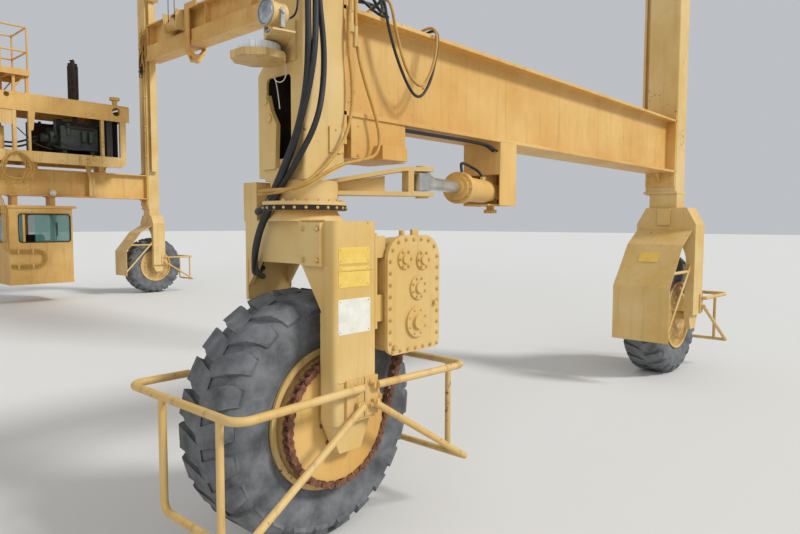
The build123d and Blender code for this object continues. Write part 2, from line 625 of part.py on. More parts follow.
# Legs: box column with a guide rail on its inboard face
def leg(x, y, inb, foot, steered):
    with BuildPart() as lg:
        with BuildSketch(Plane.XY.offset(foot)):
            with Locations((x, y)):
                RectangleRounded(LEG_X, LEG_Y, LEG_R)
        extrude(amount=LEG_TOP - foot)
        with BuildSketch(Plane.XY.offset(foot + 130)):
            with Locations((x, y)):
                Rectangle(LEG_X - 2 * LEG_WALL, LEG_Y - 2 * LEG_WALL)
        extrude(amount=LEG_TOP - foot - 160, mode=Mode.SUBTRACT)
        g0 = y + inb * (LEG_Y / 2 - 5)
        g1 = y + inb * (LEG_Y / 2 + GUIDE_DEEP)
        g2 = g1 - inb * GUIDE_T
        for a, b, w in ((g0, g1, GUIDE_NECK), (g2, g1, GUIDE_W)):
            box(x - w / 2, x + w / 2, min(a, b), max(a, b), GUIDE_LOW, LEG_TOP - 200)
        # stop under the guide rail
        a, b = sorted((g0, g1 + inb * 25))
        box(x - GUIDE_W / 2, x + GUIDE_W / 2, a, b, GUIDE_LOW - 60, GUIDE_LOW)
        if steered:
            # foot cut up over the steering arm, kingpin below it
            lx = LEG_X / 2
            with BuildSketch(at_y(y - LEG_Y / 2 - 5)):
                poly((x - 34, foot), (x + lx - 15, foot + LEG_NOTCH), (x + lx + 5, foot + LEG_NOTCH + 6),
                     (x + lx + 5, foot - 10), (x - 34, foot - 10))
            extrude(amount=-(LEG_Y + 10), mode=Mode.SUBTRACT)
            drum(x, y, foot - KING_DEEP + 10, foot + 135, KING_R)
            # slot in the side for hoses, its lever plate, the flange beside it
            with BuildSketch(Plane.YZ.offset(x - lx)):
                with Locations((y + inb * 39, foot + 344)):
                    RectangleRounded(234, 540, 30)
            extrude(amount=LEG_WALL + 2, mode=Mode.SUBTRACT)
            ys = y + inb * LEG_Y / 2
            with BuildSketch(Plane.YZ.offset(x - lx)):
                poly((ys - inb * 39, foot + 20), (ys + inb * 45, foot + 20), (ys + inb * 45, foot + 640),
                     (ys - inb * 5, foot + 690), (ys - inb * 39, foot + 690))
            extrude(amount=LEG_WALL)
            with BuildSketch(Plane.YZ.offset(x - lx - 14)):
                poly(*[(y + inb * u, foot + v) for u, v in
                       ((185, 70), (185, 380), (166, 500), (130, 512), (100, 420), (45, 330), (60, 70))])
            extrude(amount=30)
            with BuildSketch(Plane.YZ.offset(x - lx - 26)):
                with Locations((y + inb * 146, foot + 480), (y + inb * 108, foot + 372)):
                    Circle(24)
            extrude(amount=30)
            # flat bar beside the lamp's tray
            box(x - lx - 14, x - lx + 2, y - 137, y - 94, foot + 680, foot + 900)
    return lg.part


for name, corners, foot, steered in (("legs_drive", DRIVEN, LEG_FOOT, True), ("legs_idle", IDLE, IDLE_FOOT, False)):
    save(Compound(children=[leg(x, y, inb, foot, steered) for where, x, y, inb in corners]), name)


# Sills: wide-flange beam with bolted end plates and ribs, hanging boxes, the cylinder's base bracket
sills = []
for where, y, inb in SIDES:
    with BuildPart() as sill:
        x0 = -HX + LEG_X / 2
        box(x0, -x0, y - SILL_W / 2, y + SILL_W / 2, SILL_LOW, SILL_LOW + SILL_FL)
        box(x0, -x0, y - SILL_W / 2, y + SILL_W / 2, SILL_TOP - SILL_FL, SILL_TOP)
        # closed by a plate on the outboard side, as one smooth face
        for yc in (y - SILL_W / 2 + 40, y + SILL_W / 2 - 40 - SILL_WEB):
            box(x0, -x0, yc, yc + SILL_WEB, SILL_LOW + 5, SILL_TOP - 5)
        for xe in (x0, -x0 - END_PL):
            box(xe, xe + END_PL, y - SILL_W / 2, y + SILL_W / 2, SILL_LOW - END_DROP, SILL_TOP + 60)
        for e in (-1, 1):
            with BuildSketch(at_y(y - RIB_T / 2)):
                xg = e * (-x0 - END_PL + 5)
                poly((xg, SILL_LOW + 5), (xg, SILL_LOW - END_DROP + 30), (xg - e * 150, SILL_LOW + 5))
            extrude(amount=-RIB_T)
        # ribs between the flanges
        for xr in (-0.283 * WHEELBASE, -0.058 * WHEELBASE, 0.227 * WHEELBASE):
            box(xr - RIB_T / 2, xr + RIB_T / 2, y - SILL_W / 2 + 4, y + SILL_W / 2 - 4, SILL_LOW + 5, SILL_TOP - 5)
        # hanging box beside the driven leg, valve block on its side
        hb = ARM_TOP + CAP_H + CLEAR
        box(-HX + 230, -HX + 730, y - 172, y + 172, hb, SILL_LOW + 5)
        box(-HX + 430, -HX + 665, y - 250, y - 165, hb + 2, hb + 92)
        # cylinder's base bracket: plates on four sides, open toward the arm, and its pin
        bx = -HX + BASE_PIN_X
        bl = ARM_Z - BARREL_R - 22
        box(bx - 132, bx + BRACKET_X, y - 184, y + 184, bl, SILL_LOW + 5)
        box(bx - 140, bx + BRACKET_X - 20, y - 172, y + 172, bl + 14, ARM_Z + BARREL_R + 46, Mode.SUBTRACT)
        box(bx - 190, bx + BRACKET_X, y - 110, y + 110, bl, bl + 14)
        drum(bx, y, bl - 55, SILL_LOW - 30, PIN_R)
        drum(bx, y, bl - 60, bl - 30, PIN_R + 22)
        drum(bx, y, bl + 10, ARM_Z - 60 - RUN, PIN_R + 24)
        drum(bx, y, ARM_Z + 60 + RUN, ARM_Z + BARREL_R + 60, PIN_R + 24)
    sills.append(sill.part)
save(Compound(children=sills), "sills")


# Fixed top beams with haunches at the legs
top_beams = []
for end, x in ENDS:
    with BuildPart() as top:
        half = HY + LEG_Y / 2
        w, z0, z1 = TOPB_W / 2, LEG_TOP, LEG_TOP + TOPB_D
        box(x - w, x + w, -half, half, z0, z0 + BEAM_FL)
        box(x - w, x + w, -half, half, z1 - BEAM_FL, z1)
        box(x - BEAM_WEB / 2, x + BEAM_WEB / 2, -half, half, z0 + 5, z1 - 5)
        for where, y, inb in SIDES:
            yf = y + inb * (LEG_Y / 2 + GUIDE_DEEP + CLEAR)
            with BuildSketch(Plane.YZ.offset(x - LEG_X / 2)):
                poly((yf, z0 + 5), (yf, z0 - 600), (yf + inb * 60, z0 - 600), (yf + inb * 460, z0 + 5))
            extrude(amount=LEG_X)
            for k in (0, 0.5, 1):
                yr = y - inb * (LEG_Y / 2 - RIB_T / 2) + inb * k * (LEG_Y - RIB_T)
                box(x - w + 6, x + w - 6, yr - RIB_T / 2, yr + RIB_T / 2, z0 + 5, z1 - 5)
    top_beams.append(top.part)
save(Compound(children=top_beams), "top_beams")


# Lifting beams: flange with a rail band, boxed lower chord, web, shoes round the guide rails
SHOE_X = GUIDE_W / 2 + CLEAR
for end, x in ENDS:
    with BuildPart() as beam:
        half = HY - LEG_Y / 2 - GUIDE_DEEP - 40
        box(x - BEAM_W / 2, x + BEAM_W / 2, -half, half, BEAM_LOW, BEAM_LOW + BEAM_FL)
        box(x - BEAM_W / 2, x + BEAM_W / 2, -half, half, BEAM_TOP - BEAM_FL, BEAM_TOP)
        box(x - RAIL_W / 2, x + RAIL_W / 2, -half, half, BEAM_LOW + BEAM_FL - 5, BEAM_LOW + BEAM_FL + RAIL_H)
        box(x - CHORD_W / 2, x + CHORD_W / 2, -half, half, BEAM_LOW + BEAM_FL, BEAM_LOW + CHORD_TOP)
        cw, cz = CHORD_W / 2 - CHORD_WALL, BEAM_LOW + BEAM_FL + RAIL_H / 2
        box(x - cw, x + cw, 60 - half, half - 60, cz, BEAM_LOW + CHORD_TOP - CHORD_WALL, Mode.SUBTRACT)
        box(x - BEAM_WEB / 2, x + BEAM_WEB / 2, -half, half, BEAM_LOW + CHORD_TOP - 5, BEAM_TOP - 5)
        for yr in (200 - half, *[k * 0.42 * TROLLEY_Y for k in range(-2, 3)], half - 200):
            box(x - CHORD_W / 2, x + CHORD_W / 2, yr - RIB_T / 2, yr + RIB_T / 2, BEAM_LOW + CHORD_TOP - 5, BEAM_TOP - 5)
        for where, y, inb in SIDES:
            yr = y + inb * (LEG_Y / 2 + GUIDE_DEEP)
            box(x - SHOE_X - 30, x + SHOE_X + 30, yr + inb * RUN, yr + inb * 45, BEAM_LOW, BEAM_TOP)
            for e in (-1, 1):
                box(x + e * SHOE_X, x + e * (SHOE_X + 30), yr - inb * (GUIDE_T + 38), yr + inb * 10, BEAM_LOW, BEAM_TOP)
                box(x + e * (GUIDE_NECK / 2 + CLEAR), x + e * (SHOE_X + 10), yr - inb * (GUIDE_T + 38),
                    yr - inb * (GUIDE_T + 8), BEAM_LOW, BEAM_TOP)
    save(beam.part, f"hoist_beam_{end}")
    # winch on the web beside each trolley: end plates, drum with flanges, gear case and motor
    winches = []
    for where, y, inb in SIDES:
        with BuildPart() as winch:
            base = y + inb * (TROLLEY_OFF - TROLLEY_W / 2 - WINCH_GAP)
            wx, wz = x - WINCH_R - 80, BEAM_LOW + CHORD_TOP + WINCH_R + 90
            zb, zt = BEAM_LOW + CHORD_TOP + RUN, BEAM_TOP - BEAM_FL - CLEAR
            for d in (0, WINCH_L):
                box(x - BEAM_WEB / 2 - RUN, wx - WINCH_R - 60, base - inb * d, base - inb * (d + 24), zb, zt)
            a, b = sorted((base - inb * 10, base - inb * (WINCH_L + 10)))
            disc(a, b, wx, wz, WINCH_R)
            for d in (34, WINCH_L - 30):
                a, b = sorted((base - inb * d, base - inb * (d + 20)))
                disc(a, b, wx, wz, WINCH_R + 42)
            a, b = sorted((base - inb * (WINCH_L + 14), base - inb * (WINCH_L + 130)))
            disc(a, b, wx, wz, WINCH_R + 20)
            a, b = sorted((base - inb * (WINCH_L + 120), base - inb * (WINCH_L + 330)))
            disc(a, b, wx, wz + 20, 95)
        winches.append(winch.part)
    save(Compound(children=winches), f"winches_{end}")
    # trolley: side bars joined below by a V-shaped saddle with an eye, arms over the top flange
    for where, y, inb in SIDES:
        ty = y + inb * TROLLEY_OFF
        bw = BEAM_W / 2 + CLEAR
        zs = BEAM_LOW - SADDLE_DROP
        with BuildPart() as trolley:
            with BuildSketch(at_y(ty - TROLLEY_W / 2)):
                with Locations((x, 0)):
                    poly((-bw - TROLLEY_T, BEAM_TOP + 90), (-bw - TROLLEY_T, BEAM_LOW - 60), (-SADDLE_W / 2, zs),
                         (SADDLE_W / 2, zs), (bw + TROLLEY_T, BEAM_LOW - 60), (bw + TROLLEY_T, BEAM_TOP + 90),
                         (bw, BEAM_TOP + 90), (bw, BEAM_LOW - 50), (SADDLE_W / 2 - 20, zs + 175),
                         (20 - SADDLE_W / 2, zs + 175), (-bw, BEAM_LOW - 50), (-bw, BEAM_TOP + 90))
            extrude(amount=-TROLLEY_W)
            # eye across the saddle, with a flat face round each mouth
            with Locations((x, ty, zs + 92)):
                Cylinder(EYE_R, 600, rotation=(0, 90, 0), mode=Mode.SUBTRACT)
            for e in (-1, 1):
                with Locations((x + e * (EYE_FACE + 60), ty, zs + 92)):
                    Cylinder(50, 120, rotation=(0, 90, 0), mode=Mode.SUBTRACT)
            yi = ty + inb * (TROLLEY_W / 2 + TROLLEY_ARM)
            yo = ty - inb * TROLLEY_W / 2
            for e in (-1, 1):
                box(x + e * bw, x + e * (bw + TROLLEY_T), yo, yi, BEAM_TOP - 60, BEAM_TOP + 90)
            for a, b in ((yo, yo + inb * TROLLEY_W), (yi - inb * 60, yi)):
                box(x - bw - 5, x + bw + 5, a, b, BEAM_TOP + RUN, BEAM_TOP + 36)
        save(trolley.part, f"trolley_{end}_{where}")


# Engine house on the far sill: floor frame, posts, hood, engine, radiator, tank, stack
# post: x along the house, width
HOUSE_POSTS = [(HOUSE_X0 + 60, 90), (HOUSE_X0 + 900, 80), (DECK_X1 - 350, 80), (DECK_X1 - 35, 50),
               (HOUSE_X1 - 685, 70), (HOUSE_X1 - 165, 150)]
HOOD_LOW = HOUSE_TOP - HOOD_D
with BuildPart() as house:
    for a, b in ((HOUSE_Y0, HOUSE_Y0 + 110), (HOUSE_Y1 - 110, HOUSE_Y1)):
        with BuildSketch(at_y(a)):
            poly((HOUSE_X0, FLOOR_Z0), (FLOOR_X1 - 90, FLOOR_Z0), (FLOOR_X1, FLOOR_Z0 + 90), (FLOOR_X1, FLOOR_Z1),
                 (HOUSE_X0, FLOOR_Z1))
        extrude(amount=a - b)
    box(HOUSE_X0, FLOOR_X1, HOUSE_Y0 + 5, HOUSE_Y1 - 5, FLOOR_Z1 - 24, FLOOR_Z1)
    for px, pw in HOUSE_POSTS:
        box(px - pw / 2, px + pw / 2, HOUSE_Y0 + 5, HOUSE_Y1 - 5, FLOOR_Z0 + 90, FLOOR_Z1 - 5)
        for a, b in ((HOUSE_Y0, HOUSE_Y0 + 90), (HOUSE_Y1 - 90, HOUSE_Y1)):
            box(px - pw / 2, px + pw / 2, a, b, FLOOR_Z0 + 100, HOUSE_TOP - HOOD_T - 60)
    # side panels with a stiffened lower edge in the bays behind the deck's legs
    for a, b in ((HOUSE_Y0 + 10, HOUSE_Y0 + 18), (HOUSE_Y1 - 18, HOUSE_Y1 - 10)):
        box(HOUSE_X0 + 60, DECK_X1 - 350, a, b, HOOD_LOW - 330, HOOD_LOW + 40)
    box(HOUSE_X0 + 20, HOUSE_X0 + 28, HOUSE_Y0 + 40, HOUSE_Y1 - 40, FLOOR_Z1 - 5, HOOD_LOW + 40)
    # seats on the sill
    for xs in (HOUSE_X0 + 400, DECK_X1 + 160, FLOOR_X1 - 420):
        box(xs - 90, xs + 90, HY - SILL_W / 2 + 20, HY + SILL_W / 2 - 20, SILL_TOP + RUN, FLOOR_Z0 + 40)
        box(xs - 90, xs + 90, HOUSE_Y0 + 5, HOUSE_Y1 - 5, FLOOR_Z0 + 20, FLOOR_Z0 + 120)
    # bracket down the sill's side
    xs = FLOOR_X1 - 740
    with BuildSketch(at_y(HY - SILL_W / 2 - RUN)):
        poly((xs - 190, FLOOR_Z1 - 10), (xs, FLOOR_Z1 - 10), (xs + 30, SILL_TOP - 70), (xs + 110, SILL_TOP - 160),
             (xs + 110, SILL_LOW + 30), (xs - 40, SILL_LOW + 30), (xs - 40, SILL_TOP - 160))
    extrude(amount=26)
    box(xs - 190, xs, HOUSE_Y0 + 60, HY - SILL_W / 2 - RUN, FLOOR_Z0 + 30, FLOOR_Z0 + 60)
save(house.part, "engine_frame")

with BuildPart() as hood:
    with BuildSketch(Plane.YZ.offset(HOUSE_X0)):
        y0, y1, zt = HOUSE_Y0 - RUN, HOUSE_Y1 + RUN, HOUSE_TOP - HOOD_T
        poly((y0 - HOOD_T, HOOD_LOW), (y0, HOOD_LOW), (y0, zt - 40), (y0 + 40, zt), (y1 - 40, zt), (y1, zt - 40),
             (y1, HOOD_LOW), (y1 + HOOD_T, HOOD_LOW), (y1 + HOOD_T, zt - 37), (y1 - 37, HOUSE_TOP), (y0 + 37, HOUSE_TOP),
             (y0 - HOOD_T, zt - 37))
    extrude(amount=HOUSE_X1 - HOUSE_X0)
    for a in (HOUSE_X0, HOUSE_X1 - HOOD_T):
        box(a, a + HOOD_T, y0 - HOOD_T, y1 + HOOD_T, HOOD_LOW + 40, HOUSE_TOP - 42)
    # drop of the side sheet at the deck's end post, round port near the front
    with BuildSketch(at_y(y0)):
        with BuildLine():
            xd = DECK_X1 - 60
            Polyline((xd, HOOD_LOW + 10), (xd, HOOD_LOW - 440), (xd + 50, HOOD_LOW - 440))
            JernArc((xd + 50, HOOD_LOW - 440), (1, 0), 60, 60)
            Line(JernArc((xd + 50, HOOD_LOW - 440), (1, 0), 60, 60) @ 1, (xd + 150, HOOD_LOW + 10))
            Line((xd + 150, HOOD_LOW + 10), (xd, HOOD_LOW + 10))
        make_face()
    extrude(amount=HOOD_T)
    disc(y0 - 20, y0 + 20, HOUSE_X1 - 330, HOUSE_TOP - 170, 110, Mode.SUBTRACT)
    disc(y0 - 20, y0 + 20, DECK_X1 - 500, HOUSE_TOP - 80, 60, Mode.SUBTRACT)
    # radiator's filler neck with its cap
    drum(HOUSE_X1 - 300, HOUSE_Y0 + 150, HOUSE_TOP - 5, HOUSE_TOP + 150, 65)
    drum(HOUSE_X1 - 300, HOUSE_Y0 + 150, HOUSE_TOP + 140, HOUSE_TOP + 210, 125)
save(hood.part, "engine_hood")

# engine: one plain block with head, filters and fan behind the radiator
ex1 = HOUSE_X1 - ENGINE_OFF
with BuildPart() as engine:
    zf = FLOOR_Z1 + RUN
    box(ex1 - ENGINE_L, ex1, HY - ENGINE_W / 2 - 60, HY + ENGINE_W / 2, zf + 130, zf + ENGINE_H)
    for dx in (60, ENGINE_L - 160):
        box(ex1 - dx - 100, ex1 - dx, HY - ENGINE_W / 2, HY + ENGINE_W / 2, zf, zf + 140)
    box(ex1 - ENGINE_L + 40, ex1 - 60, HY - 180, HY + 180, zf + ENGINE_H - 5, zf + ENGINE_H + 130)
    drum(ex1 - ENGINE_L + 180, HOUSE_Y0 + 260, zf + 470, zf + 760, 70)
    for k in range(2):
        drum(ex1 - 190 - 170 * k, HOUSE_Y0 + 175, zf + 320, zf + 560, 55)
        box(ex1 - 240 - 170 * k, ex1 - 140 - 170 * k, HOUSE_Y0 + 160, HOUSE_Y0 + 240, zf + 540, zf + 600)
    # gear case and pump at the flywheel end, fan shaft toward the radiator
    with Locations((ex1 - ENGINE_L - 90, HY, zf + 420)):
        Cylinder(240, 190, rotation=(0, 90, 0))
    with Locations((ex1 - ENGINE_L - 250, HY - 60, zf + 400)):
        Cylinder(110, 150, rotation=(0, 90, 0))
    with Locations((ex1 + 60, HY, zf + 480)):
        Cylinder(50, 130, rotation=(0, 90, 0))
    with Locations((ex1 + 100, HY, zf + 480)):
        Cylinder(300, 40, rotation=(0, 90, 0))
save(engine.part, "engine_block")
with BuildPart() as radiator:
    rx = ex1 + 180
    box(rx, rx + 150, HOUSE_Y0 + 120, HOUSE_Y1 - 120, FLOOR_Z1 + RUN, HOUSE_TOP - 170)
    box(rx + 14, rx + 160, HOUSE_Y0 + 180, HOUSE_Y1 - 180, FLOOR_Z1 + 160, HOUSE_TOP - 300, Mode.SUBTRACT)
    box(rx + 14, rx + 100, HOUSE_Y0 + 175, HOUSE_Y1 - 175, FLOOR_Z1 + 155, HOUSE_TOP - 295)
save(radiator.part, "radiator")
with BuildPart() as tank:
    tx = HOUSE_X0 + 150
    with BuildSketch(Plane.YZ.offset(tx)):
        with Locations((HY, FLOOR_Z1 + RUN + TANK_H / 2)):
            RectangleRounded(TANK_W, TANK_H, 45)
    extrude(amount=TANK_L)
    drum(tx + 260, HY - 180, FLOOR_Z1 + TANK_H - 10, FLOOR_Z1 + TANK_H + 60, 50)
    drum(tx + 260, HY - 180, FLOOR_Z1 + TANK_H + 50, FLOOR_Z1 + TANK_H + 85, 68)
    drum(tx + TANK_L - 260, HY + 60, FLOOR_Z1 + TANK_H - 10, FLOOR_Z1 + TANK_H + 130, 85)
save(tank.part, "hydraulic_tank")
with BuildPart() as stack:
    sx, sy, s0 = HOUSE_X1 - STACK_OFF, HOUSE_Y0 + 300, HOUSE_TOP + RUN
    drum(sx, sy, s0, s0 + 24, STACK_R + 30)
    drum(sx, sy, s0 + 20, s0 + STACK_H, STACK_R)
    for k in range(8):
        a = radians(45 * k + 22)
        with Locations(Location((sx + STACK_R * cos(a), sy + STACK_R * sin(a), s0 + STACK_H / 2), (0, 0, degrees(a)))):
            Box(26, 12, STACK_H - 120)
    drum(sx, sy, s0 + STACK_H - 10, s0 + STACK_H + 80, 52)
    with Locations(Location((sx - 20, sy, s0 + STACK_H + 88), (0, -18, 0))):
        Cylinder(62, 8)
save(stack.part, "exhaust_stack")

# Railed deck on legs over the hood
with BuildPart() as deck:
    y0, y1 = HOUSE_Y0, HOUSE_Y1 - 100
    box(DECK_X0, DECK_X1, y0, y1, DECK_Z0 + DECK_T - 8, DECK_Z0 + DECK_T)
    for a, b in ((y0, y0 + 10), (y1 - 10, y1)):
        box(DECK_X0, DECK_X1, a, b, DECK_Z0, DECK_Z0 + DECK_T)
    for a in (DECK_X0, DECK_X1 - 10):
        box(a, a + 10, y0, y1, DECK_Z0, DECK_Z0 + DECK_T)
    # legs with feet on the hood, braces under the fascia
    for px in (DECK_X0 + 60, DECK_X1 - 320, DECK_X1 - 40):
        for py in (y0 + 90, y1 - 60):
            box(px - 30, px + 30, py - 30, py + 30, HOUSE_TOP + 10, DECK_Z0 + DECK_T - 4)
            box(px - 60, px + 60, py - 50, py + 50, HOUSE_TOP + RUN, HOUSE_TOP + 14)
        box(px - 20, px + 20, y0 + 5, y1 - 5, DECK_Z0 + 60, DECK_Z0 + DECK_T - 4)
    for py in (y0 + 90, y1 - 60):
        with BuildSketch(at_y(py - 10)):
            poly((DECK_X1 - 300, HOUSE_TOP + 130), (DECK_X1 - 300, HOUSE_TOP + 80), (DECK_X1 - 60, DECK_Z0 + 20),
                 (DECK_X1 - 60, DECK_Z0 + 70))
        extrude(amount=-20)
    # rails round three sides, open toward the ladder at the far end
    xa, xb, ya, yb = DECK_X0 + 30, DECK_X1 - 30, y0 + 30, y1 - 30
    for rz in (RAIL_TOP, RAIL_MID):
        add(rail([(xa, ya, rz), (xb, ya, rz), (xb, yb, rz), (xa, yb, rz)], 80, RAIL_R))
    for k in range(4):
        px = xa + (xb - xa) * k / 3
        for py in (ya, yb):
            drum(px, py, DECK_Z0 + DECK_T - 6, RAIL_TOP, RAIL_R)
save(deck.part, "deck")


# Cab under the far sill: floor, roof with eaves, walls with windows, door, panes, seat
cx0, cx1 = CAB_MID - CAB_X / 2, CAB_MID + CAB_X / 2
cy0, cy1 = HY - CAB_Y / 2, HY + CAB_Y / 2
wz, wh = (WIN_Z0 + WIN_Z1) / 2, WIN_H
NEAR_WIN = (cx0 + 210, cx1 - 60)          # window toward the lane
BAR = (NEAR_WIN[0] + 90, NEAR_WIN[0] + 140)
PANE_X = NEAR_WIN[0] + 350                # free edge of the wide pane, the middle stands open
SIDE_W = CAB_Y - 260
DOOR_X0 = cx0 + 90
DOOR_X1 = DOOR_X0 + DOOR_W
DOOR_Z0, DOOR_Z1 = CAB_Z0 + CAB_SLAB + 46, WIN_Z1 + 44
HINGES = (DOOR_Z0 + 190, DOOR_Z1 - 290)
REAR_WIN = (DOOR_X1 + 90, cx1 - 90)
with BuildPart() as cab_floor:
    box(cx0, cx1, cy0, cy1, CAB_Z0, CAB_Z0 + CAB_SLAB - RUN)
    # sill plate under the door
    box(DOOR_X0 + 60, DOOR_X1 - 60, cy1 - 5, cy1 + 28, CAB_Z0, CAB_Z0 + 12)
    for xs in (DOOR_X0 + 60, DOOR_X1 - 72):
        box(xs, xs + 12, cy1 - 5, cy1 + 28, CAB_Z0, CAB_Z0 + 50)
save(cab_floor.part, "cab_floor")
with BuildPart() as cab_roof:
    box(cx0 - 30, cx1 + CAB_OVER, cy0 - 30, cy1 + 30, CAB_Z1 - CAB_SLAB + RUN, CAB_Z1)
    fillet(cab_roof.edges().filter_by(Axis.Z), 30)
    for dx in (-420, 420):
        box(CAB_MID + dx - 60, CAB_MID + dx + 60, HY - 150, HY + 150, CAB_Z1 - 5, SILL_LOW - RUN)
        box(CAB_MID + dx - 100, CAB_MID + dx + 100, HY - 170, HY + 170, SILL_LOW - 20, SILL_LOW - RUN)
save(cab_roof.part, "cab_roof")
with BuildPart() as cab_walls:
    box(cx0, cx1, cy0, cy1, CAB_Z0 + CAB_SLAB, CAB_Z1 - CAB_SLAB)
    box(cx0 + CAB_WALL, cx1 - CAB_WALL, cy0 + CAB_WALL, cy1 - CAB_WALL, CAB_Z0, CAB_Z1, Mode.SUBTRACT)
    fillet(cab_walls.edges().filter_by(Axis.Z).filter_by_position(Axis.Y, cy0 - 1, cy0 + 1), 25)
    fillet(cab_walls.edges().filter_by(Axis.Z).filter_by_position(Axis.Y, cy1 - 1, cy1 + 1), 25)
    for yy, spans in ((cy0 - 5, (NEAR_WIN,)), (cy1 - CAB_WALL - 5, (REAR_WIN,))):
        for a, b in spans:
            with BuildSketch(at_y(yy)):
                with Locations(((a + b) / 2, wz)):
                    RectangleRounded(b - a, wh, WIN_R)
            extrude(amount=-(CAB_WALL + 10), mode=Mode.SUBTRACT)
    for xx in (cx0 - 5, cx1 - CAB_WALL - 5):
        with BuildSketch(Plane.YZ.offset(xx)):
            with Locations((HY, wz)):
                RectangleRounded(SIDE_W, wh, WIN_R)
        extrude(amount=CAB_WALL + 10, mode=Mode.SUBTRACT)
    box(DOOR_X0, DOOR_X1, cy1 - CAB_WALL - 5, cy1 + 5, DOOR_Z0 - 6, DOOR_Z1 + 6, Mode.SUBTRACT)
    # upright bar in the lane window
    box(BAR[0], BAR[1], cy0 + 8, cy0 + CAB_WALL - 2, WIN_Z0 - 5, WIN_Z1 + 5)
    for zz in HINGES:
        drum(DOOR_X0, cy1 + HINGE_OUT, zz - 24, zz - RUN, HINGE_R)
        box(DOOR_X0 - 40, DOOR_X0, cy1 - 5, cy1 + HINGE_OUT, zz - 24, zz - RUN)
        drum(DOOR_X0, cy1 + HINGE_OUT, zz - RUN - 5, zz + HINGE_H, HINGE_R / 2)
save(cab_walls.part, "cab_walls")
with BuildPart() as cab_door:
    with BuildSketch(at_y(cy1)):
        with Locations(((DOOR_X0 + 6 + DOOR_X1 - 10) / 2, (DOOR_Z0 + DOOR_Z1) / 2)):
            Rectangle(DOOR_W - 16, DOOR_Z1 - DOOR_Z0)
        with Locations(((DOOR_X0 + DOOR_X1) / 2, wz)):
            RectangleRounded(DOOR_W - 140, wh - 60, WIN_R, mode=Mode.SUBTRACT)
    extrude(amount=CAB_WALL)
    for zz in HINGES:
        drum(DOOR_X0, cy1 + HINGE_OUT, zz, zz + HINGE_H, HINGE_R)
        box(DOOR_X0, DOOR_X0 + 68, cy1 - 5, cy1 + HINGE_OUT, zz, zz + HINGE_H)
        drum(DOOR_X0, cy1 + HINGE_OUT, zz - 5, zz + HINGE_H + 5, HINGE_R / 2 + FIT, Mode.SUBTRACT)
    # pull handle
    add(rail([(DOOR_X1 - 50, cy1 - 5, wz - 480), (DOOR_X1 - 50, cy1 + 28, wz - 480), (DOOR_X1 - 50, cy1 + 28, wz - 280),
              (DOOR_X1 - 50, cy1 - 5, wz - 280)], 20, 9))
save(cab_door.part, "cab_door")
ym = cy0 + CAB_WALL / 2 + GLASS_T / 2
panes = []
# pane: plane, centre, width; each sits in its frame's opening
with BuildPart() as pane:
    with BuildSketch(at_y(ym)):
        with Locations(((NEAR_WIN[0] + NEAR_WIN[1]) / 2, wz)):
            RectangleRounded(NEAR_WIN[1] - NEAR_WIN[0] - 2 * RUN, wh - 2 * RUN, WIN_R - RUN)
        with Locations(((BAR[0] + PANE_X) / 2, wz)):
            Rectangle(PANE_X - BAR[0] + 2 * RUN, wh + 20, mode=Mode.SUBTRACT)
    extrude(amount=GLASS_T)
panes += [s for s in pane.solids()]
with BuildPart() as pane:
    with BuildSketch(at_y(cy1 - CAB_WALL / 2 + GLASS_T / 2)):
        with Locations(((REAR_WIN[0] + REAR_WIN[1]) / 2, wz)):
            RectangleRounded(REAR_WIN[1] - REAR_WIN[0] - 2 * RUN, wh - 2 * RUN, WIN_R - RUN)
    extrude(amount=GLASS_T)
panes.append(pane.solids()[0])
for xx in (cx0 + CAB_WALL / 2 - GLASS_T / 2, cx1 - CAB_WALL / 2 - GLASS_T / 2):
    with BuildPart() as pane:
        with BuildSketch(Plane.YZ.offset(xx)):
            with Locations((HY, wz)):
                RectangleRounded(SIDE_W - 2 * RUN, wh - 2 * RUN, WIN_R - RUN)
        extrude(amount=GLASS_T)
    panes.append(pane.solids()[0])
save(Compound(children=panes), "cab_glass")
with BuildPart() as door_pane:
    with BuildSketch(at_y(cy1 - CAB_WALL / 2 + GLASS_T / 2)):
        with Locations(((DOOR_X0 + DOOR_X1) / 2, wz)):
            RectangleRounded(DOOR_W - 140 - 2 * RUN, wh - 60 - 2 * RUN, WIN_R - RUN)
    extrude(amount=GLASS_T)
save(door_pane.part, "cab_door_glass")
with BuildPart() as seat:
    zs = CAB_Z0 + CAB_SLAB
    box(CAB_MID - 60, CAB_MID + 260, HY - 90, HY + 210, zs, zs + 420)
    with BuildSketch(Plane.XY.offset(zs + 415)):
        with Locations((CAB_MID + 100, HY + 60)):
            RectangleRounded(500, 500, 70)
    extrude(amount=120)
    with BuildSketch(Plane.XZ.offset(-(HY + 240))):
        with Locations((CAB_MID + 100, zs + 800)):
            RectangleRounded(480, 620, 90)
    extrude(amount=-80)
    # control stand with its lever box
    box(CAB_MID + 60, CAB_MID + 160, HY - 420, HY - 330, zs, zs + 640)
    box(CAB_MID - 100, CAB_MID + 320, HY - 450, HY - 300, zs + 620, zs + 780)
    box(CAB_MID + 60, CAB_MID + 160, HY - 340, HY - 80, zs, zs + 60)
save(seat.part, "cab_seat")


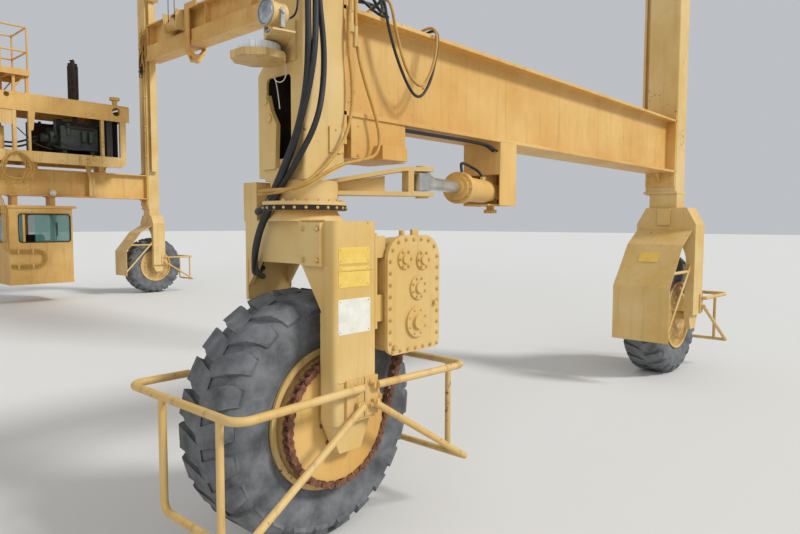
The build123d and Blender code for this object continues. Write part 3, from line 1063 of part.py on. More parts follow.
# Work lamps on the driven legs: tray with a flat lamp, shelf above with a floodlight
with BuildPart() as lamps:
    lx = -LEG_X / 2 - RUN
    lz = SILL_TOP - 390
    with BuildSketch(Plane.XY.offset(lz)):
        with Locations((lx - LAMP_R, 20)):
            RegularPolygon(LAMP_R, 8, rotation=22.5, major_radius=False)
    extrude(amount=40)
    with BuildSketch(Plane.XY.offset(lz + 10)):
        with Locations((lx - LAMP_R, 20)):
            RegularPolygon(LAMP_R - 10, 8, rotation=22.5, major_radius=False)
    extrude(amount=40, mode=Mode.SUBTRACT)
    drum(lx - LAMP_R, 20, lz + 5, lz + 80, 118)
    drum(lx - LAMP_R, 20, lz + 70, lz + 104, 30)
    with BuildSketch(Plane.XY.offset(lz + 100)):
        poly((lx, 130), (lx, -40), (lx - 130, -290), (lx - 258, -261), (lx - 109, 65))
    extrude(amount=10)
    drum(lx - 200, -200, lz + 105, lz + 150, 18)
    with Locations((lx - 200, -200, lz + 200)):
        Cylinder(65, 90, rotation=(0, 90, 0))
    with Locations((lx - 250, -200, lz + 200)):
        Cylinder(72, 14, rotation=(0, 90, 0))
put_both(lamps.part, "work_lamps", DRIVEN)
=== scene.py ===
# %% [markdown]
# # Dressing a mobile gantry crane
# The crane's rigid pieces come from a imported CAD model: legs, sills, beams, wheels, forks.
# This script loads them as a fixed frame, gives every piece its real finish and adds what is
# too small or too soft for the solids: bolts, hoses, ropes, rust and dirt. One cell, one step.

# %% Load the frame
import random
from math import atan2, cos, hypot, pi, radians, sin

import bmesh
import bpy
from mathutils import Matrix, Vector


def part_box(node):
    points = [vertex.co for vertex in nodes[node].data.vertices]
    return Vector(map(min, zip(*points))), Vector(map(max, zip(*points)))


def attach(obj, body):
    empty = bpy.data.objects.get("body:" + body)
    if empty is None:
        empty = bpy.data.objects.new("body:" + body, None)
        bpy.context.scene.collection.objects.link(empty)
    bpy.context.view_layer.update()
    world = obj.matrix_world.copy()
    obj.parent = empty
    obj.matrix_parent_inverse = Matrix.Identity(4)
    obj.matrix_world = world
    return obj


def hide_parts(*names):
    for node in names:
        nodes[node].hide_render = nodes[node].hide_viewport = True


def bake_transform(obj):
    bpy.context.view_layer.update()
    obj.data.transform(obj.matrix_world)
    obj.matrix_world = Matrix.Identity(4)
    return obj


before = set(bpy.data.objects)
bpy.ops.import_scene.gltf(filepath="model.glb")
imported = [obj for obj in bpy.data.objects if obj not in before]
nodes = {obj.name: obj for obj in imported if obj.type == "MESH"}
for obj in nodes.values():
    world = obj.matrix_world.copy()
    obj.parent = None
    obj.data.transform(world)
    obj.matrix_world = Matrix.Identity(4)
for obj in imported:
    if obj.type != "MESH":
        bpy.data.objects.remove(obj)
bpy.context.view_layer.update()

# %% [markdown]
# ## Camera
# A photograph can be matched by fitting a camera to a few edges whose real length is known.
# Here the tyres give the scale, and the wheelbase, the span and the sill's edges give the rest:
# eye height 1.92 m, a 28.6 mm lens on a 36 mm sensor, turned 47.7 degrees from square on.

# %% Camera
YAW, PITCH, ROLL = 0.832328, 0.067337, 0.002724
EYE = Vector((-5.5035, -10.1207, 1.9228))
FOCAL, IMAGE_WIDTH, SENSOR = 635.98, 800, 36     # two in pixels, the sensor in millimetres

look = Vector((sin(YAW) * cos(PITCH), cos(YAW) * cos(PITCH), -sin(PITCH)))
level = Vector((cos(YAW), -sin(YAW), 0))
up = level.cross(look)
right = level * cos(ROLL) + up * sin(ROLL)
up = -level * sin(ROLL) + up * cos(ROLL)

camera_data = bpy.data.cameras.new("camera")
camera_data.sensor_width = SENSOR
camera_data.lens = FOCAL / IMAGE_WIDTH * SENSOR
camera = bpy.data.objects.new("camera", camera_data)
camera.matrix_world = Matrix.Translation(EYE) @ Matrix((right, up, -look)).transposed().to_4x4()
bpy.context.scene.collection.objects.link(camera)
bpy.context.scene.camera = camera
print("lens", round(camera_data.lens, 2), "mm")

# %% [markdown]
# ## Floor and light
# A plain pale floor and large soft lamps show form without adding colour. The sun-like lamp is
# wide, so shadows stay soft, and it comes over the viewer's right shoulder as in the picture.

# %% Floor and light
def link_object(name, data):
    piece = bpy.data.objects.new(name, data)
    bpy.context.scene.collection.objects.link(piece)
    return piece


def srgb(code):
    """A hex colour as the linear colour that shaders want."""
    channels = [int(code[i:i + 2], 16) / 255 for i in (1, 3, 5)]
    return tuple(c / 12.92 if c <= 0.04045 else ((c + 0.055) / 1.055) ** 2.4 for c in channels) + (1.0,)


def add_node(tree, kind, settings=None, links=None, **values):
    """One shader node with its settings, its constant inputs and the links into it."""
    node = tree.nodes.new("ShaderNode" + kind)
    for key, value in (settings or {}).items():
        setattr(node, key, value)
    for key, value in values.items():
        node.inputs[key.replace("_", " ")].default_value = value
    for key, source in (links or {}).items():
        tree.links.new(source, node.inputs[key])
    return node


def material_of(name, colour=None, **values):
    """A new material; with a colour it is plain, and the values are its other settings."""
    material = bpy.data.materials.new(name)
    material.use_nodes = True
    shader = material.node_tree.nodes["Principled BSDF"]
    if colour:
        shader.inputs["Base Color"].default_value = srgb(colour)
    for key, value in values.items():
        shader.inputs[key.replace("_", " ")].default_value = value
    return material


floor_bm = bmesh.new()
bmesh.ops.create_grid(floor_bm, x_segments=1, y_segments=1, size=140)
floor_mesh = bpy.data.meshes.new("floor")
floor_bm.to_mesh(floor_mesh)
floor_bm.free()
floor = link_object("floor", floor_mesh)

floor_mesh.materials.append(material_of("pale_floor", "#D9D8D4", Roughness=0.9))

world = bpy.data.worlds.new("soft_room")
world.use_nodes = True
bpy.context.scene.world = world
background = world.node_tree.nodes["Background"]
background.inputs["Color"].default_value = srgb("#E9EDF2")
background.inputs["Strength"].default_value = 0.62

for name, angle, energy, azimuth, height in (("key", 12, 2.3, 205, 38), ("fill", 40, 0.5, 120, 30)):
    sun = bpy.data.lights.new(name, "SUN")
    sun.angle = radians(angle)
    sun.energy = energy
    lamp = link_object(name, sun)
    lamp.rotation_euler = (radians(90 - height), 0, radians(azimuth - 180))
    print(name, "lamp from azimuth", azimuth)

bpy.context.scene.view_settings.view_transform = "Standard"

# %% [markdown]
# ## Faded enamel
# The crane is brushed with warm yellow enamel that has faded, chalked and rusted. The colour is
# a base with three slow changes laid over it: sun fade in large soft clouds, dirt drawn
# downwards by rain, and small rust spots where the film broke. All read Object coordinates, so
# one recipe serves every plate at true scale.

# %% Faded enamel
def blank_finish(name):
    """A new material with its node tree, its shader and the Object coordinates."""
    material = material_of(name)
    tree = material.node_tree
    print("finish", name)
    return material, tree, tree.nodes["Principled BSDF"], add_node(tree, "TexCoord").outputs["Object"]


def faded_enamel(name, base, faded, dark, rust, streak):
    material, tree, shader, place = blank_finish(name)

    # clouds about 0.7 m across: sun fade
    cloud = add_node(tree, "TexNoise", links={"Vector": place}, Scale=1.4, Detail=4.0, Roughness=0.6)
    fade = add_node(tree, "MapRange", links={"Value": cloud.outputs["Fac"]}, From_Min=0.35, From_Max=0.68)
    # inputs 6 and 7 of a colour mix are its two colours, and output 2 is the mixed one
    colour = add_node(tree, "Mix", {"data_type": "RGBA"}, {0: fade.outputs["Result"]})
    colour.inputs[6].default_value = srgb(base)
    colour.inputs[7].default_value = srgb(faded)

    # rain streaks: narrow noise, drawn out 12 times along Z
    stretch = add_node(tree, "Mapping", links={"Vector": place}, Scale=(1.0, 1.0, 0.08))
    rain = add_node(tree, "TexNoise", links={"Vector": stretch.outputs["Vector"]},
                    Scale=16.0, Detail=5.0, Roughness=0.65)
    dirt = add_node(tree, "MapRange", links={"Value": rain.outputs["Fac"]},
                    From_Min=0.52, From_Max=0.80, To_Max=streak)
    soiled = add_node(tree, "Mix", {"data_type": "RGBA"}, {0: dirt.outputs["Result"], 6: colour.outputs[2]})
    soiled.inputs[7].default_value = srgb(dark)

    # rust spots 10 to 60 mm across, gathered in patches
    patch = add_node(tree, "TexNoise", links={"Vector": place}, Scale=1.9, Detail=3.0)
    spot = add_node(tree, "TexNoise", links={"Vector": place}, Scale=24.0, Detail=6.0, Roughness=0.7)
    gather = add_node(tree, "Math", {"operation": "MULTIPLY"},
                      {0: patch.outputs["Fac"], 1: spot.outputs["Fac"]})
    worn = add_node(tree, "MapRange", links={"Value": gather.outputs[0]},
                    From_Min=0.42 - 0.08 * rust, From_Max=0.46 - 0.06 * rust)
    rust_colour = add_node(tree, "ValToRGB", links={"Fac": spot.outputs["Fac"]})
    for stop, code in zip(rust_colour.color_ramp.elements, ("#3B2016", "#8A4B23")):
        stop.color = srgb(code)
    final = add_node(tree, "Mix", {"data_type": "RGBA"},
                     {0: worn.outputs["Result"], 6: soiled.outputs[2], 7: rust_colour.outputs["Color"]})
    tree.links.new(final.outputs[2], shader.inputs["Base Color"])

    # chalked enamel is half matt, rust is matt
    dull = add_node(tree, "MapRange", links={"Value": worn.outputs["Result"]}, To_Min=0.55, To_Max=0.9)
    tree.links.new(dull.outputs["Result"], shader.inputs["Roughness"])
    # brush marks and plate waviness
    skin = add_node(tree, "TexNoise", links={"Vector": place}, Scale=9.0, Detail=5.0)
    relief = add_node(tree, "Bump", links={"Height": skin.outputs["Fac"]}, Strength=0.25, Distance=0.006)
    tree.links.new(relief.outputs["Normal"], shader.inputs["Normal"])
    return material


ENAMEL = faded_enamel("faded_yellow_enamel", "#CB9A4C", "#D9B26A", "#8A6A38", rust=0.35, streak=0.45)
ENAMEL_PALE = faded_enamel("chalked_yellow_enamel", "#CBA65C", "#D9BC82", "#9A7C4C", rust=0.45, streak=0.32)
ENAMEL_WORN = faded_enamel("worn_yellow_enamel", "#C9A257", "#D6B67A", "#6E4A25", rust=1.0, streak=0.6)

# %% [markdown]
# ## Rubber, rusty steel, plated rod
# Tyre rubber greys with age and is mottled with pale dust. The chain and the sprocket's hub
# are bare steel gone brown, and the cylinder's rod is plated and kept bright by its seal.

# %% Rubber and steels
def mottled(name, low, high, scale, rough, metallic=0.0, relief=0.004):
    """Two colours in patches of 1000 / scale mm; grain finer than a pixel is drawn that coarse to show."""
    material, tree, shader, place = blank_finish(name)
    grain = add_node(tree, "TexNoise", links={"Vector": place}, Scale=scale, Detail=6.0, Roughness=0.65)
    ramp = add_node(tree, "ValToRGB", links={"Fac": grain.outputs["Fac"]})
    for stop, position, code in zip(ramp.color_ramp.elements, (0.3, 0.7), (low, high)):
        stop.position, stop.color = position, srgb(code)
    tree.links.new(ramp.outputs["Color"], shader.inputs["Base Color"])
    shader.inputs["Roughness"].default_value = rough
    shader.inputs["Metallic"].default_value = metallic
    bump = add_node(tree, "Bump", links={"Height": grain.outputs["Fac"]}, Strength=0.4, Distance=relief)
    tree.links.new(bump.outputs["Normal"], shader.inputs["Normal"])
    return material


RUBBER = mottled("aged_tyre_rubber", "#484A4D", "#797B7D", 7.0, 0.85)
RUST = mottled("rusted_steel", "#462718", "#93654A", 34.0, 0.9)
# oil leaves the paint dark and half glossy, soot swallows light, vinyl has a short soft shine;
# the soot black is also used as painted shade in the leg slots, on the turntable's ring and on the engine
# bay's tank
ENGINE_GREEN = mottled("oily_engine_paint", "#1C2420", "#3A453C", 9.0, 0.55)
SOOT_AND_SHADE = mottled("sooty_steel_and_painted_shade", "#17120F", "#3C2A20", 12.0, 0.85)
CHROME = mottled("hard_chrome_rod", "#A9A9A6", "#D6D6D2", 6.0, 0.28, metallic=0.85, relief=0.0005)
VINYL = mottled("black_seat_vinyl", "#101010", "#1E1E1E", 40.0, 0.5)

# %% [markdown]
# ## Building blocks for new pieces
# A small piece is a bmesh made of boxes, rods and bolts, closed and then given its finish. Bolts
# are made in one bmesh per plate, because a hundred separate objects would only slow the scene.
# Each piece rides on the body that carries it, so a pose moves it with the steel; the ropes and
# the hoses that cross the steering stay fixed where they are made.

# %% Building blocks
def block(bm, low, high):
    """A box between two corners."""
    low, high = Vector(low), Vector(high)
    place = Matrix.Translation((low + high) / 2) @ Matrix.Diagonal(high - low).to_4x4()
    return bmesh.ops.create_cube(bm, size=1, matrix=place)["verts"]


def rod(bm, start, end, radius, sides=16, tip=None):
    """A round bar, or a cone where tip is given, between two points."""
    start, end = Vector(start), Vector(end)
    turn = (end - start).to_track_quat("Z", "Y").to_matrix().to_4x4()
    place = Matrix.Translation((start + end) / 2) @ turn
    return bmesh.ops.create_cone(bm, cap_ends=True, segments=sides, radius1=radius,
                                 radius2=radius if tip is None else tip,
                                 depth=(end - start).length, matrix=place)["verts"]


def bar(bm, base, axis, start, end, radius, sides=16, tip=None):
    """A rod along an axis, between two distances from a base."""
    return rod(bm, base + axis * start, base + axis * end, radius, sides, tip)


def bolt(bm, seat, out, size):
    """Washer, hexagon head and the stud's end; size is half the head's width."""
    seat, out = Vector(seat), Vector(out).normalized()
    rod(bm, seat - out * 0.002, seat + out * size * 0.22, size * 1.5, 14)
    rod(bm, seat, seat + out * size * 1.15, size, 6)
    rod(bm, seat, seat + out * size * 1.5, size * 0.5, 8)


def finished(name, bm, material, body, slot=None, bevel=0.0, sharp=38):
    """A bmesh becomes one piece that rides on a body; edges sharper than that many degrees stay hard."""
    bmesh.ops.recalc_face_normals(bm, faces=bm.faces)
    for face in bm.faces:
        face.smooth = True
    for edge in bm.edges:
        edge.smooth = edge.is_manifold and edge.calc_face_angle(0.0) < radians(sharp)
    mesh = bpy.data.meshes.new(name)
    bm.to_mesh(mesh)
    bm.free()
    mesh.materials.append(material)
    piece = link_object(name, mesh)
    if bevel:
        edges = piece.modifiers.new("edges", "BEVEL")
        edges.width = bevel
        edges.segments = 2
        edges.limit_method = "ANGLE"
        edges.harden_normals = False
    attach(piece, body)
    return piece


def tube(name, route, radius, material, body, other=None, ends=None):
    """A hose, pipe or rope along a smooth line, riding on a body; with another body it stays fixed where it
    is made.
    """
    curve = bpy.data.curves.new(name + "_line", "CURVE")
    curve.dimensions = "3D"
    spline = curve.splines.new("NURBS")
    spline.points.add(len(route) - 1)
    for point, place in zip(spline.points, route):
        point.co = (*place, 1)
    spline.order_u = 3
    spline.use_endpoint_u = True
    spline.resolution_u = 8
    curve.bevel_depth = radius
    curve.bevel_resolution = 3
    curve.use_fill_caps = True
    line = bpy.data.objects.new(name + "_line", curve)
    mesh = bpy.data.meshes.new_from_object(line)
    bpy.data.objects.remove(line)
    mesh.name = name
    mesh.materials.clear()
    mesh.materials.append(material)
    mesh.shade_smooth()
    piece = link_object(name, mesh)
    if other:
        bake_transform(piece)
    else:
        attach(piece, body)
    return piece


def middle(node):
    low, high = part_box(node)
    return (Vector(low) + Vector(high)) / 2


def at(base, x, y, z):
    """The point that lies that far from a base."""
    return base + Vector((x, y, z))


def routed(base, route):
    """A route given in millimetres from a base, as points in metres."""
    return [base + Vector([v / 1000 for v in point]) for point in route]


def turns(count, shift=0.0):
    """Equal steps round a circle, in radians."""
    for step in range(count):
        yield 2 * pi * (step + shift) / count


SIDES = ("near", "far")
ALONG_X, ALONG_Y, ALONG_Z = (Vector(axis) for axis in ((1, 0, 0), (0, 1, 0), (0, 0, 1)))
DRIVEN = {side: middle(f"tyre_drive_{side}") for side in SIDES}
IDLE = {side: middle(f"tyre_idle_{side}") for side in SIDES}
STEER_AXIS = {side: Vector((centre.x, centre.y, 0)) for side, centre in DRIVEN.items()}
FORK = {side: (f"steered_fork_{side}", f"fork_drive_{side}") for side in SIDES}      # body and slot
TYRE_R = DRIVEN["near"].z
# of the driven corner: post's outer face from the wheel's middle, half its width, three heights
POST_OUT, POST_HALF = -0.455, 0.168
BOX_TOP, RING_TOP, LEG_FOOT = 1.940, 2.056, 2.180
# of the frames: the sill's heights and half its width, half of a leg both ways
SILL_LOW, SILL_TOP, SILL_HALF = 2.584, 3.240, 0.184
LEG_X, LEG_Y = 0.160, 0.195
# of the steering: the cylinder's height, its pin from the leg, the arm's length and its turn
ARM_Z, PIN_X, ARM_LENGTH, ARM_TURN = 2.190, 2.000, 0.750, radians(-33)
print("driven corners", [tuple(round(v, 3) for v in c) for c in DRIVEN.values()])

# %% [markdown]
# ## Tyres
# An earthmover tyre is a thick carcass with heavy slanted lugs. The carcass is one profile spun
# round the axle. A lug is a cube cut into six lengths, bent from the tread's middle over the
# shoulder and down the sidewall, with its edges broken; a spin that duplicates copies it round.

# %% Tyres
# half of the carcass: distance from the middle, radius
CARCASS = ((0.199, 0.4165), (0.204, 0.434), (0.211, 0.447), (0.221, 0.480), (0.224, 0.486), (0.228, 0.520),
           (0.230, 0.575), (0.227, 0.625), (0.219, 0.668), (0.204, 0.698), (0.172, 0.716), (0.120, 0.727),
           (0.060, 0.738), (0.015, 0.744))
# along a lug: distance from the middle, radius of the top, half the width, lead round the tyre
LUG = ((-0.020, 0.7570, 0.062, -0.004), (0.045, 0.7595, 0.066, 0.016), (0.110, 0.7595, 0.069, 0.040),
       (0.165, 0.7560, 0.070, 0.060), (0.200, 0.7420, 0.068, 0.070), (0.2205, 0.7130, 0.062, 0.078),
       (0.2310, 0.6650, 0.050, 0.086))
LUG_ROOT = ((-0.020, 0.700), (0.045, 0.700), (0.110, 0.700), (0.155, 0.697), (0.180, 0.688), (0.200, 0.665),
            (0.218, 0.640))
LUGS, LUG_REACH = 24, TYRE_R - 0.0002


def build_tyre(name, centre, node, body):
    bm = bmesh.new()
    round_axle = {"cent": (0, 0, 0), "axis": (0, 1, 0)}
    half_ring = list(CARCASS) + [(-y, r) for y, r in reversed(CARCASS)]
    ring = [bm.verts.new((0, y, r)) for y, r in half_ring]
    line = [bm.edges.new(pair) for pair in zip(ring, ring[1:] + ring[:1])]
    bmesh.ops.spin(bm, geom=ring + line, angle=2 * pi, steps=96, use_merge=True, **round_axle)
    for side in (1, -1):
        lug = bmesh.new()
        bmesh.ops.create_cube(lug, size=1)
        along = [e for e in lug.edges if abs(e.verts[0].co.x - e.verts[1].co.x) > 0.5]
        bmesh.ops.subdivide_edges(lug, edges=along, cuts=len(LUG) - 2, use_grid_fill=True)
        top = [v for v in lug.verts if v.co.z > 0]
        for vert in lug.verts:
            step = round((vert.co.x + 0.5) * (len(LUG) - 1))
            y, r, half, lead = LUG[step]
            if vert not in top:
                y, r = LUG_ROOT[step]
                half += 0.007
            turn = (lead + 2 * vert.co.y * half) / TYRE_R + (pi / LUGS if side > 0 else 0)
            vert.co = (r * sin(turn), side * y, r * cos(turn))
        rim = [e for e in lug.edges if all(v in top for v in e.verts) and e.calc_face_angle(0.0) > 0.5]
        bmesh.ops.bevel(lug, geom=rim, offset=0.009, segments=3, profile=0.5, affect="EDGES", material=-1)
        # the rounding lifts some corners, so they go back to the tyre's own radius
        for vert in lug.verts:
            reach = hypot(vert.co.x, vert.co.z)
            if reach > LUG_REACH:
                vert.co = (vert.co.x * LUG_REACH / reach, vert.co.y, vert.co.z * LUG_REACH / reach)
        whole = lug.verts[:] + lug.edges[:] + lug.faces[:]
        bmesh.ops.spin(lug, geom=whole, angle=2 * pi * (LUGS - 1) / LUGS, steps=LUGS - 1, use_duplicate=True,
                       **round_axle)
        shape = bpy.data.meshes.new("lugs")
        lug.to_mesh(shape)
        lug.free()
        bm.from_mesh(shape)
        bpy.data.meshes.remove(shape)
    bmesh.ops.translate(bm, verts=bm.verts, vec=centre)
    faces = len(bm.faces)
    piece = finished(name, bm, RUBBER, body, node, sharp=45)
    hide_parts(node)
    return faces


for side in SIDES:
    for kind, corners in (("drive", DRIVEN), ("idle", IDLE)):
        wheel = f"{kind}_{side}"
        count = build_tyre(f"tread_{wheel}", corners[side], f"tyre_{wheel}", f"wheel_{wheel}_body")
print("tyres of", count, "faces each")

# %% [markdown]
# ## Wheel fittings
# One circle of nuts holds the rim and a smaller one the disc, and the sprocket has a disc and a
# hub of its own. These circles and the hub's cap are what the eye counts on a big wheel.

# %% Wheel fittings
for side in SIDES:
    for kind, corners in (("drive", DRIVEN), ("idle", IDLE)):
        centre = corners[side]
        bm = bmesh.new()
        # rim's nuts on the post's side, disc's on the other: how many, radius, place across, way, size
        for count, radius, across, way, size in ((20, 0.300, -0.2455, -ALONG_Y, 0.012),
                                                 (12, 0.150, -0.130, ALONG_Y, 0.015)):
            for turn in turns(count):
                out = Vector((sin(turn), 0, cos(turn)))
                bolt(bm, at(centre + out * radius, 0, across, 0), way, size)
        # hub cap on the side away from the post, proud of the hub
        bar(bm, centre, ALONG_Y, 0.148, 0.168, 0.100, 32)
        bar(bm, centre, ALONG_Y, 0.165, 0.185, 0.070, 32, 0.055)
        wheel = f"wheel_{kind}_{side}"
        finished(f"wheel_nuts_{kind}_{side}", bm, ENAMEL_WORN, wheel + "_body", wheel)
    # the sprocket's disc closes the ring, with a rusty hub and its bolts in the middle
    centre, wheel = DRIVEN[side], f"wheel_drive_{side}"
    bm = bmesh.new()
    bar(bm, centre, ALONG_Y, -0.3180, -0.2820, 0.3560, 96)
    finished(f"sprocket_disc_{side}", bm, ENAMEL, wheel + "_body", wheel, bevel=0.003)
    bm = bmesh.new()
    bar(bm, centre, ALONG_Y, -0.3330, -0.3175, 0.092, 40)
    for turn in turns(8):
        bolt(bm, at(centre, 0.150 * sin(turn), -0.3180, 0.150 * cos(turn)), (0, -1, 0), 0.0090)
    finished(f"sprocket_hub_{side}", bm, RUST, wheel + "_body", wheel, bevel=0.002)

# %% [markdown]
# ## Drive chain
# A roller chain is pairs of waisted plates on pins. It could be one strap with a pattern, but the
# gaps between its links show against the sprocket, so each link is made, set out at equal steps
# along the line that runs round the big ring and the small one.

# %% Drive chain
CHAIN_Y = -0.300
BIG, SMALL = 0.3760, 0.1000
GEAR = Vector((0.505, 0, 1.312 - 0.760))     # small sprocket from the wheel's centre
PITCHES = 60


def belt_point(share):
    """A point at that share of the chain's length, from the wheel's centre."""
    def on_ring(radius, turn):
        return Vector((radius * cos(turn), 0, radius * sin(turn)))

    lean = atan2(GEAR.z, GEAR.x)
    straight = (hypot(GEAR.x, GEAR.z) ** 2 - (BIG - SMALL) ** 2) ** 0.5
    spread = pi / 2 - atan2(BIG - SMALL, straight)
    big_arc, small_arc = BIG * (2 * pi - 2 * spread), SMALL * 2 * spread
    way = share % 1 * (big_arc + small_arc + 2 * straight)
    if way < big_arc:
        return on_ring(BIG, lean + spread + way / BIG)
    way -= big_arc
    last = lean - spread
    if way < straight:
        return on_ring(BIG, last).lerp(GEAR + on_ring(SMALL, last), way / straight)
    way -= straight
    if way < small_arc:
        return GEAR + on_ring(SMALL, last + way / SMALL)
    way -= small_arc
    first = lean + spread
    return (GEAR + on_ring(SMALL, first)).lerp(on_ring(BIG, first), way / straight)


for side in SIDES:
    centre = DRIVEN[side] + Vector((0, CHAIN_Y, 0))
    bm = bmesh.new()
    for step in range(PITCHES):
        here, after = belt_point(step / PITCHES), belt_point((step + 1) / PITCHES)
        wide = 0.0270 if step % 2 else 0.0205
        ahead = after - here
        across = ahead.normalized().cross(ALONG_Y)
        for way in (1, -1):
            low, high = Vector((0, way * wide - 0.0028, 0)), Vector((0, way * wide + 0.0028, 0))
            for end in (here, after):
                rod(bm, centre + end + low, centre + end + high, 0.0215, 14)
            flat = bmesh.ops.create_cube(bm, size=1)["verts"]
            for vert in flat:
                vert.co = (centre + here + ahead * (vert.co.x + 0.5) + across * 0.032 * vert.co.z
                           + Vector((0, way * wide + vert.co.y * 0.0050, 0)))
        # pin and roller
        for half, radius, sides in ((0.0325, 0.0085, 10), (0.0175, 0.0145, 12)):
            bar(bm, centre + here, ALONG_Y, -half, half, radius, sides)
    piece = finished(f"chain_links_{side}", bm, RUST, f"steered_fork_{side}", f"chain_{side}")
    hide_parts(f"chain_{side}")
print("chains of", PITCHES, "pitches")

# %% [markdown]
# ## Bolts of the steered corner
# The gearbox cover, its bearing caps, the turntable's ring and the guard's bracket are all bolted,
# and those circles of heads are how one reads them as machinery and not as boxes. A dark band low
# on the ring is painted shade that stands for the turntable's shaded gap.

# %% Bolts of the steered corner
# bearing caps: place on the cover, radius of the bolts' circle, how many
CAPS = ((0.395, 1.710, 0.050, 6), (0.565, 1.700, 0.050, 6), (0.520, 1.527, 0.060, 8),
        (0.505, 1.312, 0.078, 8))
CASE = (0.245, 0.735, 1.125, 1.855)          # left, right, low and high edge of the cover
COVER_OUT = -0.470


def edge_places(left, right, low, high, radius_top, inset, count):
    """Equal steps round a rectangle with rounded top corners."""
    a, b, c, d = left + inset, right - inset, low + inset, high - inset
    r, quarter = radius_top, (0.0, 0.4, 0.8, 1.2, pi / 2)
    loop = [(a + r * (1 - cos(t)), d - r * (1 - sin(t))) for t in quarter]
    loop += [(b - r * (1 - sin(t)), d - r * (1 - cos(t))) for t in quarter]
    loop += [(b, c), (a, c), loop[0]]
    lengths = [hypot(q[0] - p[0], q[1] - p[1]) for p, q in zip(loop, loop[1:])]
    total = sum(lengths)
    for step in range(count):
        way = total * step / count
        for (p, q), length in zip(zip(loop, loop[1:]), lengths):
            if way <= length:
                yield p[0] + (q[0] - p[0]) * way / length, p[1] + (q[1] - p[1]) * way / length
                break
            way -= length


for side in SIDES:
    x, y, _ = DRIVEN[side]
    bm = bmesh.new()
    for bx, bz in edge_places(*CASE, 0.13, 0.024, 30):
        bolt(bm, (x + bx, y + COVER_OUT, bz), (0, -1, 0), 0.0095)
    for cx, cz, radius, count in CAPS:
        for turn in turns(count, 0.5):
            seat = (x + cx + radius * sin(turn), y + COVER_OUT - 0.011, cz + radius * cos(turn))
            bolt(bm, seat, (0, -1, 0), 0.0075)
    # drain plug and level plug of the case
    for px, pz in ((0.30, 1.175), (0.68, 1.42)):
        rod(bm, (x + px, y + COVER_OUT, pz), (x + px, y + COVER_OUT - 0.020, pz), 0.016, 8)
    finished(f"gearbox_bolts_{side}", bm, ENAMEL_WORN, f"steered_fork_{side}", f"gearbox_{side}")

    bm = bmesh.new()
    for turn in turns(20):
        bolt(bm, (x + 0.2305 * cos(turn), y + 0.2305 * sin(turn), RING_TOP - 0.002), (0, 0, 1), 0.0105)
    # guard's bracket on the post
    for bz in (0.868, 1.005):
        bolt(bm, (x + 0.098, y + POST_OUT - 0.0163, bz), (0, -1, 0), 0.0165)
    # stop pad
    for by in (-0.350, -0.230):
        for bz in (1.720, 1.895):
            bolt(bm, (x - POST_HALF - 0.032, y + by, bz), (-1, 0, 0), 0.0120)
    # gearbox's foot on the post's side
    for bz in (1.35, 1.47, 1.75, 1.83):
        bolt(bm, (x + POST_HALF + 0.0183, y + POST_OUT + 0.055, bz), (1, 0, 0), 0.0110)
    finished(f"fork_bolts_{side}", bm, ENAMEL_WORN, *FORK[side])

# painted shade: a dark band low on the turntable's ring stands for its shaded gap, with pale bolt heads in it
SHADE_BAND_R = 0.2562
for side in SIDES:
    x, y, _ = DRIVEN[side]
    bm = bmesh.new()
    rod(bm, (x, y, 2.0025), (x, y, 2.0340), SHADE_BAND_R, 72)
    finished(f"turntable_groove_{side}", bm, SOOT_AND_SHADE, *FORK[side])
    bm = bmesh.new()
    for turn in turns(24, 0.5):
        out = Vector((cos(turn), sin(turn), 0))
        bolt(bm, Vector((x, y, 2.0180)) + SHADE_BAND_R * out, out, 0.0060)
    finished(f"turntable_groove_bolts_{side}", bm, ENAMEL_PALE, *FORK[side])

# %% [markdown]
# ## Bolts of the frames
# End plates tie each sill to its legs with a row of nuts above the sill and two pairs below, and
# a flange under each idle leg holds its fork.

# %% Bolts of the frames
for side in SIDES:
    across = DRIVEN[side].y
    bm = bmesh.new()
    for way, x in ((1, DRIVEN[side].x + LEG_X + 0.024), (-1, IDLE[side].x - LEG_X - 0.024)):
        for dy in (-0.150, 0.150):
            for step in range(2):
                bolt(bm, (x, across + dy, SILL_LOW - 0.050 - 0.075 * step), (way, 0, 0), 0.0130)
        for step in range(7):
            bolt(bm, (x, across - 0.150 + 0.050 * step, SILL_TOP + 0.032), (way, 0, 0), 0.0135)
    flange = IDLE[side]
    for step in range(4):
        for dy in (-0.178, 0.178):
            bolt(bm, (flange.x - 0.135 + 0.09 * step, flange.y + dy, 2.3205), (0, 0, -1), 0.0125)
    finished(f"frame_bolts_{side}", bm, ENAMEL_WORN, "frame", "sills")
print("bolts set")

# %% [markdown]
# ## Sills
# The long beam between two wheels is a wide-flange section whose web stands well back from the
# flanges' edges, so a deep shadow runs under the top flange. Flanges, web and plates are cubes at
# their real sizes; the piece stands in for the solid, whose side plates lie nearer the edges.

# %% Sills
END_X = 3.0 - LEG_X
EDGE_TOP = SILL_LOW + 0.005                  # plates reach a little into the lower flange
HANG, BRACKET_LOW = 2.331, 2.076
WEB_MIDDLE, WEB_HALF, FLANGE = 0.066, 0.009, 0.026


def plate(bm, y, x0, x1, half, low, high):
    """A box that reaches as far to one side of y as to the other."""
    return block(bm, (x0, y - half, low), (x1, y + half, high))


